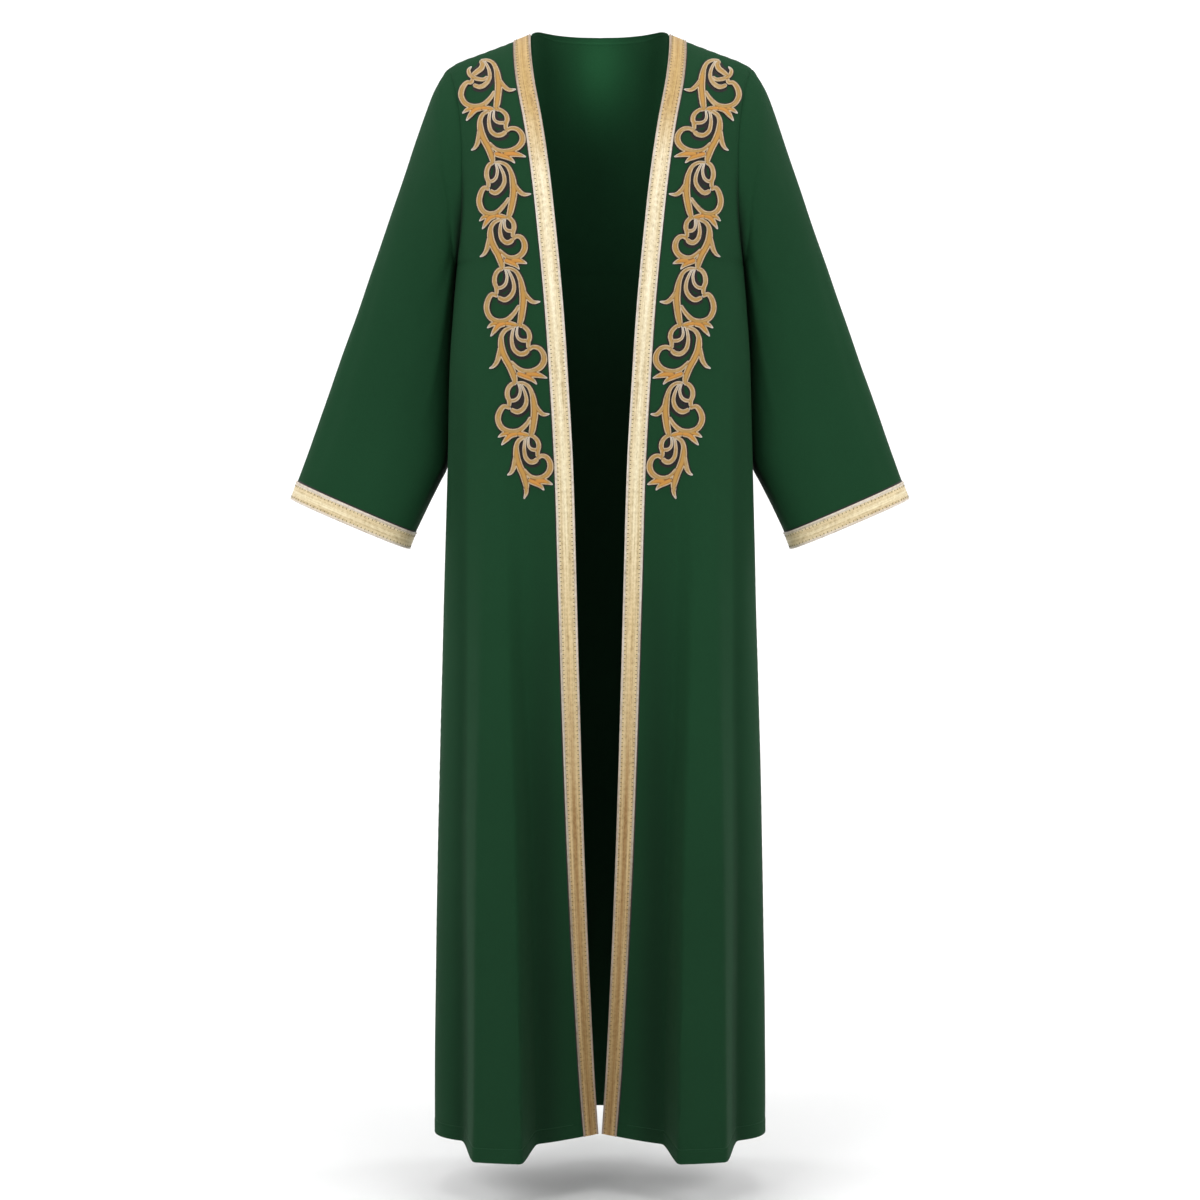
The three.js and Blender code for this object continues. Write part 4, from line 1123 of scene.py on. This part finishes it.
def allStrokes(form):
    """Every stroke of a front's scroll, laid flat: out from the scroll's axis, and its height."""
    strokes = []
    tops = [z for z, _, _ in sprays] + [form["endZ"]]
    for number, (z, curl, leaf) in enumerate(sprays):
        charts = dict(firstSpray if number == 0 else outwardSpray if number % 2 == 0 else inwardSpray)
        if number == len(sprays) - 1:
            charts["tail"] = tail
        turned = 1 if number % 2 == 0 else -1
        stretch = (tops[number + 1] - z) / form["sprayLength"]
        for name, chart in charts.items():
            placed = [
                (turned * out * (curl if out > 0 else leaf), z + down * stretch, half)
                for out, down, half in chart
            ]
            strokes.append((*strokeLine(placed, form["step"]), name))
    return strokes


def makeScroll(side, braidEdge):
    """The scroll on a front: each stroke is a padded band of satin stitch on a dark ground, with a cord
    round it. Where a cord would cross another stroke it dips under that one's padding."""
    form = scrollForm
    strokes = allStrokes(form)
    centres = np.concatenate([line for line, _, _ in strokes])
    owner = np.concatenate([np.full(len(line), i) for i, (line, _, _) in enumerate(strokes)])
    points, faces, uvs, slots, tones = [], [], [], [], []
    count = 0

    def add(grid, height, closed, uv, slot, tone):
        """One grid of the scroll: its places laid flat, its heights, and its material slot."""
        nonlocal count
        quads = gridFaces(*height.shape, closed, count)
        points.append(np.concatenate([grid, height[..., None]], axis=-1).reshape(-1, 3))
        faces.append(quads)
        uvs.append(np.stack(np.broadcast_arrays(*uv), axis=-1).reshape(-1, 2))
        slots.append(np.full(len(quads), slot))
        tones.append(np.broadcast_to(tone, height.shape).ravel())
        count += height.size

    for number, (line, along, name) in enumerate(strokes):
        way = np.gradient(line[:, :2], axis=0)
        way /= np.linalg.norm(way, axis=1, keepdims=True)
        square = np.stack([-way[:, 1], way[:, 0]], axis=-1)
        half = line[:, 2]
        thin = np.clip(1 - (half - 0.7) / 1.7, 0, 1)
        joins = name.startswith("flame") or name == "root"
        broad = np.clip((half - 2.2) / 1.4, 0, 1) if joins else 0.4 * np.clip((half - 3.2) / 1.4, 0, 1)

        share = np.linspace(-1, 1, 5)
        wider = form.get(name + "Ground", form["groundWider"])
        reach = (half + wider * (1 - 0.35 * thin))[:, None] * share
        level = np.broadcast_to(0.1 + 0.12 * (1 - np.abs(share) ** 4), reach.shape)
        ground = line[:, None, :2] + square[:, None] * reach[..., None]
        add(ground, level, False, (along[:, None] * 0.001, share), 2, 0)

        share = np.linspace(-1, 1, 9)
        width = np.maximum(0.15, half - form["bandInset"])
        band = line[:, None, :2] + square[:, None] * (width[:, None] * share)[..., None]
        crown = form["padding"] * np.minimum(1, half / 3.2)
        height = form["lift"] + crown[:, None] * (1 - np.abs(share) ** 2.4) ** 0.8
        tone = (0.52 + 0.48 * thin - 0.45 * broad)[:, None]
        add(band, height, False, (along[:, None] * 0.001, share), 0, tone)

        # the cord runs up one side of the stroke and back down the other, and ends where it began
        radius = form["cordRadius"] * mix(1, 0.5, thin)
        inset = np.maximum(0.05, half - 0.9 * radius)[:, None]
        loop = np.concatenate([line[:, :2] + square * inset, (line[:, :2] - square * inset)[::-1]])
        away = np.concatenate([square, -square[::-1]])
        radius = np.concatenate([radius, radius[::-1]])[:, None]
        loop, away, radius = (np.concatenate([part, part[:1]]) for part in (loop, away, radius))
        others = owner != number
        gaps = np.linalg.norm(loop[:, None] - centres[None, others, :2], axis=2) - centres[None, others, 2]
        sunk = smooth((-gaps.min(axis=1) - 0.4) / 0.9)[:, None]
        turn = np.arange(7) * 2 * math.pi / 7
        ring = loop[:, None] + away[:, None] * (radius * np.cos(turn))[..., None]
        tall = form["lift"] + form["cordHeight"] + radius * np.sin(turn) - form["cordSink"] * sunk
        distance = np.concatenate([along, along[-1] * 2 - along[::-1], along[-1:] * 2])
        bright = np.concatenate([thin, thin[::-1], thin[:1]])[:, None]
        add(ring, tall, True, (distance[:, None] * 0.001, turn / 6.28), 1, bright)
    flat = np.concatenate(points)
    z = flat[:, 1]
    out = np.interp(z, braidEdge[:, 2], -braidEdge[:, 0]) + scrollAxis["fromBraid"](z) + flat[:, 0]
    y = heightField(out, z)
    slopeOut = (heightField(out + 1, z) - heightField(out - 1, z)) / 2
    slopeZ = (heightField(out, z + 1) - heightField(out, z - 1)) / 2
    normals = np.stack([-slopeOut, -np.ones(len(y)), slopeZ], axis=-1)
    normals /= np.linalg.norm(normals, axis=1, keepdims=True)
    lift = flat[:, 2] + frontRelief(out, z, side)
    vertices = np.stack([-out, y, z], axis=-1) + normals * lift[:, None]
    vertices, quads = mirrored(vertices, np.concatenate(faces)[:, ::-1], side)
    name = "embroidery_right" if side < 0 else "embroidery_left"
    piece = makeMesh(
        name + "_stitched", vertices, quads, [satin, outlineCord, groundThread], uv=np.concatenate(uvs),
        slotOf=np.concatenate(slots), tone=np.concatenate(tones),
    )
    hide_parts(name)
    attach(piece, "root")
    return piece


# Putting it together


def hemStitching(name, line, normals, relief, side=-1):
    """The row of stitches that holds a turned hem."""
    look = bodyLook
    lift = (relief + look["stitchLift"])[:, None]
    size = look["stitchPitch"], look["stitchLength"], look["stitchRadius"]
    return stitchLine(name, line, normals, lift, *size, greenThread, side)


backPiece, backPoints, backNormals, backRelief = makeBack()
print("back ready", len(backPiece.data.polygons))
hemLine = int(np.argmin(np.abs(bodyZ - hemZ - bodyLook["hemDepth"])))
for side in (-1, 1):
    frontPiece, points, normals, relief = makeFront(side)
    sleevePiece = makeSleeve(side)
    print("front and sleeve ready", len(frontPiece.data.polygons), len(sleevePiece.data.polygons))
    braidPiece, braidTicks, braidPoints = frontBraid(side)
    cuffPiece, cuffTicks = cuffBraid(side)
    scrollPiece = makeScroll(side, braidPoints[:, -1])
    print("braid and scroll ready", len(braidPiece.data.polygons), len(scrollPiece.data.polygons))
    line = points[hemLine, 8:], normals[hemLine, 8:], relief[hemLine, 8:]
    sewnOn = [scrollPiece, hemStitching(f"front_hem_stitches_{side}", *line, side)]

line = backPoints[hemLine, 4:-4], backNormals[hemLine, 4:-4], backRelief[hemLine, 4:-4]
backStitches = [hemStitching("back_hem_stitches", *line)]
atNeck = np.abs(backPoints[-1, :, 0]) < neckOut - 2
down = lengths(np.swapaxes(backPoints, 0, 1)).T
neckLine = int(np.argmin(np.abs((down[-1:] - down)[:, down.shape[1] // 2] - bodyLook["neckHem"])))
line = backPoints[neckLine, atNeck], backNormals[neckLine, atNeck], backRelief[neckLine, atNeck]
backStitches.append(hemStitching("back_neck_stitches", *line))

# Stage

stageLook = {
    "cameraDistance": 3.0,   # from the origin
    "cameraHeight": -0.5626,
    "lens": 70.87,           # mm on a 36 mm sensor
    "pitchDown": 0.873,      # degrees
    "shiftY": -0.07,
    "hemLow": -1.392,        # the hem's lowest point
    "floorGap": 0.07,        # from there down to the floor
    "floorColour": (0.95, 0.95, 0.95, 1.0),
    "worldStrength": 0.4,
}


def stageScene(look):
    """A pale floor that curves up into a backdrop, the photograph's camera and soft area lights."""
    scene = bpy.context.scene
    scene.view_settings.view_transform = "Standard"
    floorZ = look["hemLow"] - look["floorGap"]
    turn = np.linspace(0, math.pi / 2, 17)
    profileY = np.concatenate([[-8.0], 1.6 + 1.4 * np.sin(turn), [3.0]])
    profileZ = np.concatenate([[0.0], 1.4 - 1.4 * np.cos(turn), [7.0]])
    wide = np.array([-9.0, 9.0])[:, None]
    grid = np.stack(np.broadcast_arrays(wide, profileY, profileZ + floorZ), axis=-1)
    paint, _, _ = newMaterial("backdrop_paint", Base_Color=look["floorColour"], Roughness=0.9)
    faces = gridFaces(2, len(profileY), False)[:, ::-1]
    backdrop = makeMesh("backdrop", grid.reshape(-1, 3) * 1000, faces, [paint])

    camera = bpy.data.objects.new("camera", bpy.data.cameras.new("camera"))
    camera.data.lens = look["lens"]
    camera.data.sensor_width = 36
    camera.data.shift_y = look["shiftY"]
    camera.location = (0, -look["cameraDistance"], look["cameraHeight"])
    camera.rotation_euler = (math.radians(90 - look["pitchDown"]), 0, 0)
    scene.collection.objects.link(camera)
    scene.camera = camera

    world = bpy.data.worlds.new("studio")
    world.use_nodes = True
    world.node_tree.nodes["Background"].inputs["Color"].default_value = (1, 1, 1, 1)
    world.node_tree.nodes["Background"].inputs["Strength"].default_value = look["worldStrength"]
    scene.world = world
    lamps = [
        ("key", (-2.2, -2.6, 1.2), (0, 0, -0.6), 2.2, 60),
        ("fill", (2.4, -2.4, 0.9), (0, 0, -0.6), 2.2, 48),
        ("top", (0, -0.6, 2.6), (0, 0, -0.6), 2.0, 40),
        ("backdrop_left", (-3.2, 0.9, 1.2), (-0.6, 3.4, 0.2), 2.0, 45),
        ("backdrop_right", (3.2, 0.9, 1.2), (0.6, 3.4, 0.2), 2.0, 45),
    ]
    for name, place, aim, size, power in lamps:
        lamp = bpy.data.objects.new(name, bpy.data.lights.new(name, "AREA"))
        lamp.data.size = size
        lamp.data.energy = power
        lamp.location = place
        x, y, z = np.subtract(place, aim)
        lamp.rotation_euler = (math.atan2(math.hypot(x, y), z), 0, math.atan2(x, -y))
        scene.collection.objects.link(lamp)
    print("stage ready")


stageScene(stageLook)
